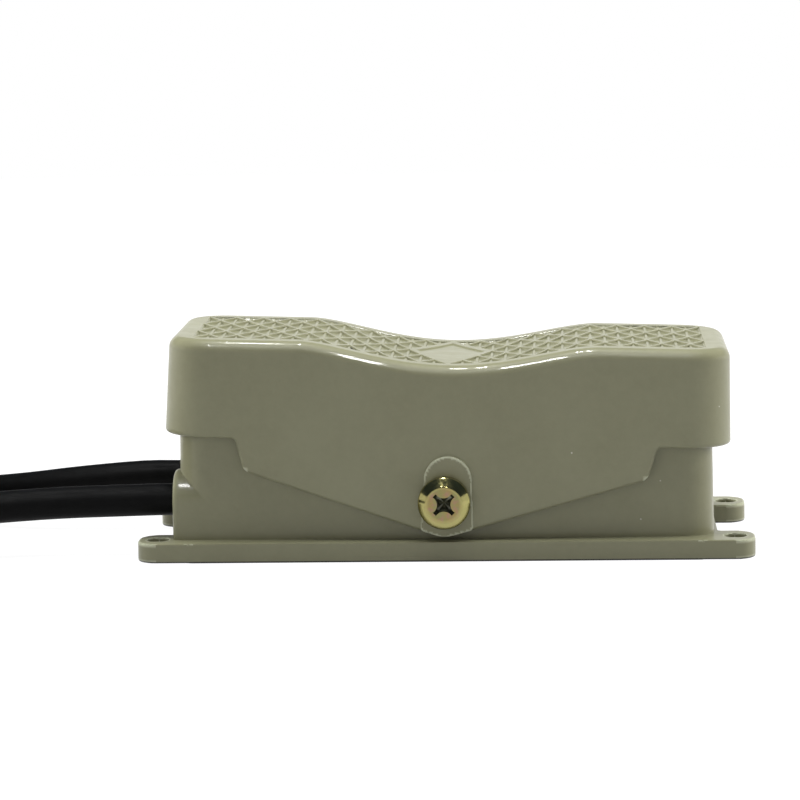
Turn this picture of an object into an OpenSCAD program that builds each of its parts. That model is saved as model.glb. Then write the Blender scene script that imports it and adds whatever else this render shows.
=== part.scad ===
// Treadle foot switch.
// A cast housing stands on a flange with four fixing ears. A see-saw treadle
// turns on two shoulder screws and pushes one spring-loaded rod at each side,
// and each rod works the lever of a snap-action switch inside the housing.
// Length runs along X, depth along Y and height along Z. The floor is Z = 0.

/* [Base] */
// Length over the fixing ears
base_len = 190; // [184:1:210]
// Depth of the base flange
base_depth = 80; // [78:1:92]
// Thickness of the base flange
flange_t = 6; // [5:0.5:7]
// Width of each fixing ear
ear_w = 17; // [15:0.5:20]
// Corner radius of the ears
ear_r = 6.5; // [4:0.5:7]
// Diameter of the fixing holes
fix_hole_d = 7; // [5:0.5:8]
// Distance from an ear's end to its hole centre
fix_edge_x = 6; // [5.5:0.5:7]
// Distance from the long edge to the hole centre
fix_edge_y = 8.5; // [7:0.5:9.5]

/* [Housing] */
// Length of the housing walls
house_len = 165; // [163:1:166]
// Depth of the housing walls
house_depth = 65; // [64:0.5:65]
// Height of the housing above the floor
house_h = 45; // [44:0.5:45]
// Thickness of the housing walls
wall_t = 3; // [2.5:0.25:3.5]
// Thickness of the housing deck
deck_t = 3.5; // [3:0.25:4]
// Plan radius of the housing corners
house_r = 10; // [8:0.5:12]

/* [Treadle] */
// Length of the treadle at its lower edge
treadle_len = 175; // [174.5:0.5:180]
// Depth of the treadle at its lower edge
treadle_depth = 72.4; // [72.4:0.2:75]
// Height of the two lobes above the floor
lobe_top = 66; // [66:0.5:70]
// Depth of the saddle between the lobes
dip_depth = 6.5; // [4:0.5:6.5]
// Half length of the saddle
dip_half = 46; // [40:1:50]
// Height of the end skirts' lower edge
end_skirt_z = 36; // [35:0.5:38]
// Half length of the side skirts
step_x = 64.8; // [60:0.2:66]
// Thickness of the skirts
skirt_t = 2.6; // [2.2:0.1:2.6]
// Thickness of the roof
roof_t = 4; // [3.5:0.25:4]
// Plan radius of the treadle corners
treadle_r = 15; // [12:0.5:17]
// Radius of the top edge
edge_r = 3.5; // [2:0.25:4]
// Draft of the skirts in degrees
draft = 2; // [1:0.25:2]
// Tilt of the treadle at rest, in degrees, right side down
rest_tilt = 1.8; // [0:0.1:2]

/* [Tread] */
// Half the width of one lozenge, along the treadle
rib_pitch = 4.38; // [4:0.02:6]
// Length of one lozenge, across the treadle
lozenge = 18.4; // [14:0.2:20]
// Width of the slanting ribs
rib_w = 0.9; // [0.6:0.05:1.2]
// Width of the thin rib that halves each lozenge
spine_w = 0.5; // [0.3:0.05:0.9]
// Depth of the pockets between the ribs
pocket_d = 0.9; // [0.6:0.1:1.2]
// Plain margin round the tread
tread_margin = 8.6; // [6:0.1:12]

/* [Pivot] */
// Height of the pivot axis above the floor
pivot_z = 18.2; // [18:0.1:19]
// Radius of the skirt round the pivot
lobe_r = 11; // [10.5:0.25:11]
// Width of the raised pad round the screw
pad_w = 14.6; // [14:0.2:16]
// How far the pad stands out
pad_t = 1.2; // [0.8:0.1:1.4]
// Diameter of the screw head
head_d = 16; // [14:0.5:17]
// Height of the screw head
head_h = 6; // [5:0.5:7]
// Diameter of the screw's shoulder
shoulder_d = 8.8; // [8.4:0.1:9]
// Diameter of the screw's thread
thread_d = 8; // [7:0.1:8]
// Length of the screw's thread
thread_len = 9; // [7:0.5:10]

/* [Plungers] */
// Distance of each rod from the middle
rod_x = 50; // [48:0.5:52]
// Diameter of the rods
rod_d = 6; // [5:0.25:6]
// Diameter of the rod heads
rod_head_d = 14; // [12:0.5:14]
// Diameter of the spring wire
wire_d = 1.2; // [1:0.1:1.3]
// Number of turns in each return spring
spring_turns = 5; // [4:1:6]

/* [Switches] */
// Length of a switch case
case_len = 28; // [26:0.5:29]
// Thickness of a switch case
case_w = 10.3; // [9:0.1:11]
// Height of a switch case
case_h = 16; // [15:0.5:16]
// Diameter of the switch button
button_d = 3.2; // [2.6:0.1:3.6]

/* [Cables] */
// Diameter of each cable
cord_d = 10; // [9.6:0.1:10]
// Distance of each cable from the middle
cord_y = 23; // [22.6:0.1:23.2]
// Height of each cable above the floor
cord_z = 17.2; // [17:0.1:18]

/* [Hidden] */
smooth = 64;
// colours
enamel = [0.56, 0.55, 0.44];
black_rubber = [0.05, 0.05, 0.05];
zinc_yellow = [0.80, 0.72, 0.42];
steel = [0.66, 0.67, 0.69];
bronze = [0.62, 0.45, 0.24];
nitrile = [0.12, 0.12, 0.13];
case_brown = [0.28, 0.16, 0.10];
button_red = [0.70, 0.12, 0.08];
brass = [0.80, 0.66, 0.32];
cork = [0.45, 0.40, 0.33];
nylon = [0.90, 0.89, 0.84];

// shared clearances
over = wall_t / 3;
part_gap = rod_d / 20;
running = rod_d / 150;

// housing
inner_len = house_len - 2 * wall_t;
inner_depth = house_depth - 2 * wall_t;
inner_r = house_r - wall_t;
deck_under = house_h - deck_t;
fix_x = base_len / 2 - fix_edge_x;
fix_y = base_depth / 2 - fix_edge_y;
mid_len = house_len + wall_t;
flange_edge = flange_t / 6;

// bottom plate
plate_t = 2;
gasket_t = 0.5;
plate_lip = 3;
plate_len = inner_len + 2 * plate_lip;
plate_depth = inner_depth + 2 * plate_lip;
plate_r = inner_r + plate_lip;
plate_gap = 0.2;
rebate = plate_t + gasket_t;
plate_screw_d = 3;
plate_boss_d = 3 * plate_screw_d;
plate_boss_h = 10;
plate_screw_x = inner_len / 2 - plate_boss_d / 2;
plate_screw_y = inner_depth / 2 - plate_boss_d / 2;

// pivot
side_y = house_depth / 2;
washer_t = 0.8;
pad_y = treadle_depth / 2 + pad_t;
skirt_in = side_y + washer_t + part_gap;
head_y = pad_y + part_gap;
bush_wall = 2;
bush_d = shoulder_d + 2 * running + 2 * bush_wall;
pivot_boss_wall = 5;
pivot_boss_d = thread_d + 2 * pivot_boss_wall;
pivot_boss_y = side_y - thread_len - wall_t / 2;

// treadle
treadle_low = pivot_z - lobe_r - 2 * over;
side_step_z = end_skirt_z - lobe_r * 10 / 11;
side_step_x = step_x - wall_t;
dip_power = 1.7;
flats = 36;
bends = 6;
rounds = 4;

// studs in the treadle and rods below them
stud_d = 8;
stud_hang = 5;
stud_tip_z = lobe_top - roof_t - stud_hang;
stud_boss_d = stud_d * 1.75;
stud_boss_z = stud_tip_z + stud_d / 4;
stud_gap = 1.5 * part_gap;
head_top = stud_tip_z - stud_gap;
rod_head_t = 2;
guide_bush_wall = 2;
guide_wall = 3;
guide_bush_h = 5.5;
guide_len = 7;
pocket_room = 0.5;
pocket_depth = 4;
guide_bush_d = rod_d + 2 * guide_bush_wall;
guide_d = guide_bush_d + 2 * guide_wall;
spring_pocket_d = rod_head_d + 2 * pocket_room;
spring_floor = house_h - pocket_depth;
guide_low = spring_floor - guide_len;
seat_t = 1;
seal_t = spring_floor - guide_low - guide_bush_h;
swing = 5;
drop_per_deg = rod_x * PI / 180;
rest_drop = drop_per_deg * rest_tilt;
full_drop = drop_per_deg * swing;
clip_t = 0.8;
groove_t = clip_t / 2;
clip_z = guide_low - full_drop - clip_t - 2 * part_gap;

// stop buffers
buffer_x = 70;
buffer_d = 10;
buffer_h = 3;
buffer_stem_d = 5;
buffer_sink = 2.5;
stop_rib_z = house_h + buffer_h + 2 * part_gap + (buffer_x + skirt_t / 2) * sin(swing);

// switches
case_room = 1.5;
case_low = rebate + case_room;
case_top = case_low + case_h;
arm_len = 28;
arm_t = 0.7;
arm_w = 6;
arm_tip = 3;
arm_tail = 0.6;
arm_x = rod_x - arm_len;
arm_gap = 0.55;
arm_lift = 0.9;
arm_z = case_top + arm_lift;
arm_share = 0.95;
arm_per_deg = arm_share * rod_x / arm_len;
rod_low = arm_z + arm_t / 2 + arm_gap + full_drop;
button_x = 6;
button_gap = 0.4;
button_tip = button_d / 5;
button_share = arm_share * button_x / arm_len;
hinge_pin_d = 1.2;
blade_t = 0.8;
blade_w = 4.8;
blade_len = 8;
case_end = 2;
case_back = arm_x - case_end;
case_hole_in = 4;
case_hole_pitch = case_len - 7 * case_hole_in / 4;
case_hole_z = 3;
ear_plate_t = 1.2;
ear_plate_w = 3;
ear_plate_h = 1.8;
ear_plate_gap = 0.6;
blade_first = 3.5;
blade_rise = 5;
bracket_t = 1.5;
bracket_in = 0.5;
bracket_len = case_len - 2 * bracket_in;
bracket_foot = 11;
bracket_top = case_top + case_h / 2;
small_screw_d = 3;
nut_t = 2.4;
bracket_screw_d = 4;
post_d = 8;
post_in = 6;
post_pitch = 18;
bracket_post_y = case_w / 2 + bracket_t + post_d * 0.625;

// cables
cord_r = cord_d / 2;
cord_room = 0.3;
cord_hole_d = cord_d + 2 * cord_room;
entry_r = side_y - cord_y;
entry_out = 2.3;
entry_x = house_len / 2 + entry_out;
seal_wall = 1.3;
seal_d = cord_d + 2 * seal_wall;
seal_lip = 1.8;
seal_len = 5.5;
seal_x = entry_x - seal_lip;
clamp_w = 6;
clamp_in = 9;
clamp_x = inner_len / 2 - clamp_in;
clamp_post_y = cord_y - clamp_in;
clamp_bar_t = 1.5;
earth_x = rod_x + 1.25 * post_d;
earth_low = case_top + post_d;

// cable routes in millimetres from the exit, drawn for this diameter of cable
drawn_cord_d = 10;
route_share = cord_d / drawn_cord_d;
front_run = share([
  [18, 0, 0], [8, 0, 0], [-2, 0, 0], [-15, 0, -0.3], [-35, 0, -0.9],
  [-53, -2.4, -1.6], [-70, -9.4, -1.7], [-84, -20, -1.2], [-98, -30.7, -0.7],
  [-115, -37.8, -0.5], [-133, -40, -0.5]]);
rear_run = share([
  [18, 0, 0], [8, 0, 0], [-2, 0, 0], [-15, 0, 0], [-35, 0, -1.6],
  [-53, 2.4, -3.9], [-70, 9.4, -6.3], [-84, 20, -8.6], [-98, 30.7, -10.2],
  [-115, 37.8, -11], [-133, 40, -11]]);
coil_back = -front_run[len(front_run) - 1][0];
coil_out = share(63);
coil_step = share(10.5);
coil_turns = 2.24;
coil_rings = 24;
tube_sides = 10;
coil_sides = 8;
tie_t = share(1.2);
tie_w = share(5);
core_d = share(2.2);
core_len = share(17);
ferrule_len = share(6);
core_turn = 30;
core_bend = 1.5 * core_d;
lead_d = share(2.4);
// routes of the leads inside the housing, seen from above
front_leads = share([[-54, -20], [-38, -15], [-20, -14], [-8, -10.5], [-5, -4]]);
rear_leads = share([[-54, 20], [-38, 17], [-10, 16], [1, 11], [4, 3.5]]);

function share(v) = v * route_share;

// forms that several pieces share

module round_block(len, depth, r, h) {
  linear_extrude(height = h) {
    square([len - 2 * r, depth], center = true);
    square([len, depth - 2 * r], center = true);
    for (sx = [-1, 1], sy = [-1, 1])
      translate([sx * (len / 2 - r), sy * (depth / 2 - r)])
        circle(r = r, $fn = smooth);
  }
}

module along_y(len) {
  rotate([90, 0, 0])
    linear_extrude(height = len, center = true)
      children();
}

module at_tilt(angle) {
  translate([0, 0, pivot_z])
    rotate([0, angle, 0])
      translate([0, 0, -pivot_z])
        children();
}

module facing(side) {
  // the front piece is drawn, and the rear one is the same piece turned round
  rotate([0, 0, side < 0 ? 0 : 180])
    children();
}

function unit(v) = v / norm(v);
function lean(p, i) = unit(p[min(i + 1, len(p) - 1)] - p[max(i - 1, 0)]);
function turned(v, a) = [v[0] * cos(a) - v[1] * sin(a), v[0] * sin(a) + v[1] * cos(a), v[2]];
function ring_at(c, t, r, n) =
  let (s = unit(cross([0, 0, 1], t)))
  let (u = cross(t, s))
  [for (k = [0:n - 1]) c + r * (cos((k + 0.5) * 360 / n) * s + sin((k + 0.5) * 360 / n) * u)];

// a round tube along a path, and first and final can set the way its ends face
module tube(path, r, n, first = [], final = []) {
  last = len(path) - 1;
  function way(i) = i == 0 && len(first) > 0 ? first : i == last && len(final) > 0 ? final : lean(path, i);
  skin = [for (i = [0:last]) each ring_at(path[i], way(i), r, n)];
  walls = [for (i = [0:last - 1], k = [0:n - 1])
    let (a = i * n + k, b = i * n + (k + 1) % n)
    each [[a, b, a + n], [b, b + n, a + n]]];
  caps = [[for (k = [0:n - 1]) n - 1 - k], [for (k = [0:n - 1]) last * n + k]];
  polyhedron(points = skin, faces = concat(walls, caps), convexity = 8);
}

// a smooth path through hand-placed points, with the same number of steps in each
function blend(a, b, c, d, t) =
  0.5 * ((2 * b) + (c - a) * t + (2 * a - 5 * b + 4 * c - d) * t * t
  + (3 * b - a - 3 * c + d) * t * t * t);
function through(p, steps) = concat(
  [for (i = [0:len(p) - 2], s = [0:steps - 1])
    blend(p[max(i - 1, 0)], p[i], p[i + 1], p[min(i + 2, len(p) - 1)], s / steps)],
  [p[len(p) - 1]]);

// the housing with its flange, ears and inner bosses

module cable_entry(side) {
  translate([-entry_x, side * cord_y, 0]) {
    translate([0, 0, cord_z])
      rotate([0, 90, 0])
        cylinder(r = entry_r, h = entry_x - inner_len / 2 + house_r, $fn = smooth);
    translate([0, -entry_r, 0])
      cube([entry_x - inner_len / 2 + house_r, 2 * entry_r, cord_z]);
  }
}

module flange_form() {
  round_block(mid_len, base_depth, ear_r, flange_t - flange_edge);
  round_block(mid_len - 2 * flange_edge, base_depth - 2 * flange_edge,
    ear_r - flange_edge, flange_t);
  for (sy = [-1, 1])
    translate([0, sy * (base_depth - ear_w) / 2, 0]) {
      round_block(base_len, ear_w, ear_r, flange_t - flange_edge);
      round_block(base_len - 2 * flange_edge, ear_w - 2 * flange_edge,
        ear_r - flange_edge, flange_t);
    }
}

module inner_posts() {
  // guide bosses of the two rods
  for (sx = [-1, 1])
    translate([sx * rod_x, 0, guide_low])
      cylinder(d = guide_d, h = house_h - guide_low - over, $fn = smooth);
  // pads that back the two spring pockets
  for (sx = [-1, 1])
    translate([sx * rod_x, 0, spring_floor - deck_t])
      cylinder(d = spring_pocket_d + 2 * wall_t, h = deck_t, $fn = smooth);
  // threaded bosses of the pivot screws
  for (sy = [-1, 1])
    translate([0, sy * (pivot_boss_y + side_y - over) / 2, pivot_z])
      rotate([90, 0, 0])
        cylinder(d = pivot_boss_d, h = side_y - over - pivot_boss_y, center = true, $fn = smooth);
  // posts that carry the switch brackets
  for (sx = [-1, 1], px = [0, 1])
    translate([sx * bracket_post_x(px), bracket_post_y, bracket_top])
      cylinder(d = post_d, h = house_h - bracket_top - over, $fn = smooth);
  // bosses for the bottom plate's screws
  for (sx = [-1, 1], sy = [-1, 1])
    translate([sx * plate_screw_x, sy * plate_screw_y, rebate]) {
      cylinder(d = plate_boss_d, h = plate_boss_h - rebate, $fn = smooth);
      translate([sx > 0 ? 0 : -plate_boss_d / 2 - over, -plate_boss_d / 2, 0])
        cube([plate_boss_d / 2 + over, plate_boss_d, plate_boss_h - rebate]);
      translate([-plate_boss_d / 2, sy > 0 ? 0 : -plate_boss_d / 2 - over, 0])
        cube([plate_boss_d, plate_boss_d / 2 + over, plate_boss_h - rebate]);
    }
  // posts and stops of the cable clamps
  for (sy = [-1, 1]) {
    translate([-clamp_x, sy * clamp_post_y, cord_z - cord_r])
      cylinder(d = post_d, h = house_h - over - cord_z + cord_r, $fn = smooth);
    translate([-clamp_x - clamp_w / 2, sy > 0 ? clamp_post_y : -side_y + over, cord_z + cord_r])
      cube([clamp_w, side_y - over - clamp_post_y, house_h - over - cord_z - cord_r]);
  }
  // earth post
  translate([-earth_x, 0, earth_low])
    cylinder(d = post_d, h = house_h - earth_low - over, $fn = smooth);
}

function bracket_post_x(k) = case_back + post_in + k * post_pitch;

module housing() {
  color(enamel)
  difference() {
    union() {
      flange_form();
      round_block(house_len, house_depth, house_r, house_h);
      for (sy = [-1, 1])
        cable_entry(sy);
    }
    difference() {
      translate([0, 0, -over])
        round_block(inner_len, inner_depth, inner_r, deck_under + over);
      inner_posts();
    }
    // rebate for the bottom plate and its gasket
    translate([0, 0, -over])
      round_block(plate_len + 2 * plate_gap, plate_depth + 2 * plate_gap,
        plate_r + plate_gap, rebate + over);
    // fixing holes
    for (sx = [-1, 1], sy = [-1, 1])
      translate([sx * fix_x, sy * fix_y, -over])
        cylinder(d = fix_hole_d, h = flange_t + 2 * over, $fn = smooth);
    // threaded holes for the pivot screws
    for (sy = [-1, 1])
      translate([0, sy * (side_y + over), pivot_z])
        rotate([sy * 90, 0, 0])
          cylinder(d = thread_d, h = thread_len + over, $fn = smooth);
    // rod guides and spring pockets
    for (sx = [-1, 1]) {
      translate([sx * rod_x, 0, guide_low - over])
        cylinder(d = guide_bush_d, h = house_h - guide_low + 2 * over, $fn = smooth);
      translate([sx * rod_x, 0, spring_floor])
        cylinder(d = spring_pocket_d, h = house_h - spring_floor + over, $fn = smooth);
    }
    // blind holes for the inner screws
    for (sx = [-1, 1], px = [0, 1])
      translate([sx * bracket_post_x(px), bracket_post_y, bracket_top - over])
        cylinder(d = bracket_screw_d, h = bracket_screw_d * 2 + over, $fn = smooth);
    for (sx = [-1, 1], sy = [-1, 1])
      translate([sx * plate_screw_x, sy * plate_screw_y, 0])
        cylinder(d = plate_screw_d, h = plate_boss_h - over, $fn = smooth);
    for (sy = [-1, 1])
      translate([-clamp_x, sy * clamp_post_y, cord_z - cord_r - over])
        cylinder(d = bracket_screw_d, h = bracket_screw_d * 2 + over, $fn = smooth);
    translate([-earth_x, 0, earth_low - over])
      cylinder(d = bracket_screw_d, h = bracket_screw_d * 2 + over, $fn = smooth);
    // cable holes, stepped for the seals
    for (sy = [-1, 1])
      translate([-entry_x - over, sy * cord_y, cord_z])
        rotate([0, 90, 0]) {
          cylinder(d = cord_hole_d, h = entry_x - inner_len / 2 + inner_r / 2 + over, $fn = smooth);
          translate([0, 0, seal_lip + over])
            cylinder(d = seal_d, h = seal_len + part_gap, $fn = smooth);
        }
    // sockets for the stop buffers
    for (sx = [-1, 1])
      translate([sx * buffer_x, 0, house_h - buffer_sink])
        cylinder(d = buffer_stem_d, h = buffer_sink + over, $fn = smooth);
  }
}

// the plate that closes the underside, on its gasket

module bottom_plate() {
  color(steel)
  difference() {
    round_block(plate_len, plate_depth, plate_r, plate_t);
    for (sx = [-1, 1], sy = [-1, 1])
      translate([sx * plate_screw_x, sy * plate_screw_y, 0])
        plate_screw_form(over);
  }
}

module plate_gasket() {
  color(cork)
  translate([0, 0, plate_t])
    difference() {
      round_block(plate_len, plate_depth, plate_r, gasket_t);
      difference() {
        translate([0, 0, -over])
          round_block(inner_len, inner_depth, inner_r, gasket_t + 2 * over);
        for (sx = [-1, 1], sy = [-1, 1])
          translate([sx * (inner_len / 2 - plate_boss_d / 2), sy * (inner_depth / 2 - plate_boss_d / 2), 0])
            cube([plate_boss_d, plate_boss_d, gasket_t * 3], center = true);
      }
      for (sx = [-1, 1], sy = [-1, 1])
        translate([sx * plate_screw_x, sy * plate_screw_y, -over])
          cylinder(d = plate_screw_d, h = gasket_t + 2 * over, $fn = smooth);
    }
}

module plate_screw_form(below) {
  // countersunk head flush with the underside
  cylinder(d1 = 2 * plate_screw_d, d2 = plate_screw_d, h = plate_screw_d / 2, $fn = smooth);
  translate([0, 0, -below])
    cylinder(d = below > 0 ? 2 * plate_screw_d : plate_screw_d, h = below + plate_screw_d / 12,
      $fn = smooth);
  cylinder(d = plate_screw_d, h = plate_boss_h - 2 * over, $fn = smooth);
}

module plate_screws() {
  color(steel)
  for (sx = [-1, 1], sy = [-1, 1])
    translate([sx * plate_screw_x, sy * plate_screw_y, 0])
      difference() {
        plate_screw_form(0);
        for (a = [0, 90])
          rotate([0, 0, a])
            cube([plate_screw_d, plate_screw_d / 5, plate_screw_d / 1.5], center = true);
      }
}

// the treadle, drawn level and then tipped to its rest angle

function top_z(x) = lobe_top - (abs(x) < dip_half ?
  dip_depth * pow(1 - pow(x / dip_half, 2), dip_power) : 0);

// near half of a rounded outline, from its left end to its right end
function near_line(hl, hd, r) = concat(
  [for (k = [0:bends]) let (a = 180 + 90 * k / bends)
    [-hl + r + r * cos(a), -hd + r + r * sin(a)]],
  [for (k = [1:flats - 1]) [(hl - r) * (2 * k / flats - 1), -hd]],
  [for (k = [0:bends]) let (a = 270 + 90 * k / bends)
    [hl - r + r * cos(a), -hd + r + r * sin(a)]]);
function full_line(p) = concat(p, [for (k = [len(p) - 1:-1:0]) [p[k][0], -p[k][1]]]);

// rings are [inset, drop] pairs below the top, and the first one lies level at low
module saddle_block(hl, hd, r, low, foot, rings) {
  lines = [for (g = concat([[foot, 0]], rings))
    full_line(near_line(hl - g[0], hd - g[0], max(r - g[0], edge_r / 4)))];
  n = len(lines[0]);
  m = n / 2;
  points = [for (j = [0:len(lines) - 1], k = [0:n - 1])
    let (p = lines[j][k])
    [p[0], p[1], j == 0 ? low : top_z(p[0]) - rings[j - 1][1]]];
  last = len(lines) - 1;
  walls = [for (j = [0:last - 1], k = [0:n - 1])
    let (a = j * n + k, b = j * n + (k + 1) % n)
    each [[a, a + n, b], [b, a + n, b + n]]];
  floor_faces = [for (k = [0:m - 2]) each
    [[k, k + 1, n - 2 - k], [k, n - 2 - k, n - 1 - k]]];
  t = last * n;
  roof_faces = [for (k = [0:m - 2]) each
    [[t + k, t + n - 2 - k, t + k + 1], [t + k, t + n - 1 - k, t + n - 2 - k]]];
  polyhedron(points = points, faces = concat(walls, floor_faces, roof_faces), convexity = 6);
}

function foot_inset(z) = (z - end_skirt_z) * tan(draft);
top_inset = foot_inset(lobe_top - edge_r);
outer_rings = [for (k = [0:rounds]) let (a = 90 * k / rounds)
  [top_inset + edge_r * (1 - cos(a)), edge_r * (1 - sin(a))]];
inner_drop = roof_t;
// the hollow's corners are tighter, so that they clear the housing at full swing
corner_room = 0.6 * skirt_t;
inner_rings = [[top_inset + skirt_t, inner_drop + edge_r / 2],
  [top_inset + skirt_t + edge_r / 2, inner_drop]];

// outline of the skirts seen from the front
side_arm = norm([side_step_x, side_step_z - pivot_z]);
side_turn = atan2(side_step_z - pivot_z, side_step_x) - acos(lobe_r / side_arm);
module skirt_outline() {
  translate([0, pivot_z])
    circle(r = lobe_r, $fn = smooth);
  polygon([
    [-lobe_r * cos(side_turn), pivot_z + lobe_r * sin(side_turn)],
    [lobe_r * cos(side_turn), pivot_z + lobe_r * sin(side_turn)],
    [side_step_x, side_step_z], [step_x, end_skirt_z],
    [treadle_len, end_skirt_z], [treadle_len, 2 * lobe_top],
    [-treadle_len, 2 * lobe_top], [-treadle_len, end_skirt_z],
    [-step_x, end_skirt_z], [-side_step_x, side_step_z]]);
}

module pad_outline() {
  translate([0, pivot_z + pad_w / 2])
    circle(d = pad_w, $fn = smooth);
  intersection() {
    polygon([[-pad_w / 2, pivot_z + pad_w / 2], [pad_w / 2, pivot_z + pad_w / 2],
      [pad_w * 0.58, treadle_low], [-pad_w * 0.58, treadle_low]]);
    skirt_outline();
  }
}

// the tread in plan: each lozenge of the lattice is two triangular pockets
slant = norm([rib_pitch, lozenge / 2]);
rib_rise = rib_w / 2 * slant / rib_pitch;
pocket_run = rib_pitch * (1 - 2 * rib_rise / lozenge);
pocket_half = lozenge / 2 * (1 - spine_w / 2 / rib_pitch) - rib_rise;
tread_x = treadle_len / 2 - tread_margin;
tread_y = treadle_depth / 2 - tread_margin;
columns = ceil(tread_x / rib_pitch);
rows = ceil(2 * tread_y / lozenge);
// the middle of the lattice holds one large plain lozenge
plain_cells = 3;
plain_share = 0.82;
plain_x = plain_cells * rib_pitch * plain_share;
plain_y = plain_cells * lozenge / 2 * plain_share;

module pockets() {
  intersection() {
    square([2 * tread_x, 2 * tread_y], center = true);
    union() {
      for (i = [-columns:columns], j = [-rows:rows], side = [-1, 1])
        if ((i + j) % 2 == 0 && abs(i) + abs(j) >= plain_cells)
          translate([i * rib_pitch, j * lozenge / 2])
            polygon([[side * spine_w / 2, -pocket_half], [side * pocket_run, 0],
              [side * spine_w / 2, pocket_half]]);
    }
  }
  polygon([[-plain_x, 0], [0, -plain_y], [plain_x, 0], [0, plain_y]]);
}

module tread_layer() {
  steps = 2 * flats;
  along_y(treadle_depth)
    polygon(concat(
      [for (k = [0:steps]) let (x = treadle_len * (k / steps - 0.5)) [x, top_z(x) - pocket_d]],
      [[treadle_len / 2, 2 * lobe_top], [-treadle_len / 2, 2 * lobe_top]]));
}

module treadle_level() {
  difference() {
    union() {
      intersection() {
        difference() {
          saddle_block(treadle_len / 2, treadle_depth / 2, treadle_r, treadle_low,
            foot_inset(treadle_low), outer_rings);
          saddle_block(treadle_len / 2, treadle_depth / 2, treadle_r - corner_room,
            treadle_low - over, foot_inset(treadle_low - over) + skirt_t, inner_rings);
        }
        along_y(2 * treadle_depth)
          skirt_outline();
      }
      // raised pads outside and bearing bosses inside the skirts
      for (sy = [-1, 1]) {
        translate([0, sy * (pad_y + skirt_in) / 2, 0])
          along_y(pad_y - skirt_in)
            pad_outline();
        translate([0, sy * (skirt_in + skirt_t / 2), pivot_z])
          rotate([90, 0, 0])
            cylinder(r = lobe_r - over, h = skirt_t, center = true, $fn = smooth);
      }
      // bosses for the contact studs, and stop ribs
      for (sx = [-1, 1]) {
        translate([sx * rod_x, 0, stud_boss_z])
          cylinder(d = stud_boss_d, h = lobe_top - roof_t / 2 - stud_boss_z, $fn = smooth);
        translate([sx * buffer_x, 0, (stop_rib_z + lobe_top - roof_t / 2) / 2])
          cube([skirt_t, buffer_d * 1.5, lobe_top - roof_t / 2 - stop_rib_z], center = true);
      }
    }
    for (sy = [-1, 1])
      translate([0, sy * (skirt_in + pad_y) / 2, pivot_z])
        rotate([90, 0, 0])
          cylinder(d = bush_d, h = pad_y - skirt_in + 2 * over, center = true, $fn = smooth);
    for (sx = [-1, 1])
      translate([sx * rod_x, 0, stud_boss_z - over])
        cylinder(d = stud_d / 2, h = stud_boss_d / 3 + over, $fn = smooth);
    intersection() {
      tread_layer();
      translate([0, 0, lobe_top - dip_depth - 2 * pocket_d])
        linear_extrude(height = dip_depth + 4 * pocket_d)
          pockets();
    }
  }
}

module treadle() {
  color(enamel)
  at_tilt(rest_tilt)
    treadle_level();
}

module pivot_bushes() {
  color(bronze)
  for (sy = [-1, 1])
    translate([0, sy * (skirt_in + pad_y) / 2, pivot_z])
      rotate([90, 0, 0])
        difference() {
          cylinder(d = bush_d, h = pad_y - skirt_in, center = true, $fn = smooth);
          cylinder(d = shoulder_d + 2 * running, h = pad_y, center = true, $fn = smooth);
        }
}

module contact_studs() {
  color(steel)
  at_tilt(rest_tilt)
    for (sx = [-1, 1])
      translate([sx * rod_x, 0, 0])
        rotate_extrude($fn = smooth)
          polygon(concat(
            [[0, stud_boss_z + stud_boss_d / 3 - over], [0, stud_tip_z]],
            [for (k = [1:4]) let (a = 9 * k)
              [stud_d * 0.85 * sin(a), stud_tip_z + stud_d * 0.85 * (1 - cos(a))]],
            [[stud_d / 2, stud_boss_z], [stud_d / 4, stud_boss_z],
              [stud_d / 4, stud_boss_z + stud_boss_d / 3 - over]]));
}

// the shoulder screws that the treadle turns on

module pivot_screw() {
  recess = head_d / 2;
  color(zinc_yellow)
  translate([0, -side_y, pivot_z])
    rotate([90, 0, 0])
      difference() {
        rotate_extrude($fn = smooth)
          polygon(concat(
            [[0, -thread_len + over], [thread_d / 2 - over / 2, -thread_len + over],
              [thread_d / 2, -thread_len + 2 * over], [thread_d / 2, 0],
              [shoulder_d / 2, 0], [shoulder_d / 2, head_y - side_y],
              [head_d / 2, head_y - side_y]],
            [for (k = [0:6]) let (a = 15 * k)
              [head_d * 0.36 + head_d * 0.14 * cos(a),
                head_y - side_y + head_h * (0.3 + 0.7 * sin(a))]],
            [[0, head_y - side_y + head_h]]));
        for (a = [45, 135])
          rotate([0, 0, a])
            translate([0, 0, head_y - side_y + head_h]) {
              cube([recess, recess / 5, head_h * 0.8], center = true);
              cube([recess * 0.6, recess / 3, head_h * 0.7], center = true);
            }
      }
}

module pivot_screw_front() {
  facing(-1)
    pivot_screw();
}

module pivot_screw_rear() {
  facing(1)
    pivot_screw();
}

module pivot_washers() {
  color(steel)
  for (sy = [-1, 1])
    translate([0, sy * (side_y + washer_t / 2), pivot_z])
      rotate([90, 0, 0])
        difference() {
          cylinder(d = head_d, h = washer_t, center = true, $fn = smooth);
          cylinder(d = shoulder_d, h = 2 * washer_t, center = true, $fn = smooth);
        }
}

// the rods that carry the treadle's stroke into the housing, and their springs

module rod_form() {
  tip = rod_d / 2;
  rotate_extrude($fn = smooth)
    polygon(concat(
      [[0, rod_low]],
      [for (k = [1:6]) let (a = 5 * k)
        [rod_d * sin(a), rod_low + rod_d * (1 - cos(a))]],
      [[tip, clip_z], [tip - groove_t, clip_z],
        [tip - groove_t, clip_z + clip_t], [tip, clip_z + clip_t],
        [tip, head_top - rod_head_t], [rod_head_d / 2, head_top - rod_head_t],
        [rod_head_d / 2, head_top - rod_head_t / 4],
        [rod_head_d / 2 - rod_head_t / 4, head_top], [0, head_top]]));
}

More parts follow.
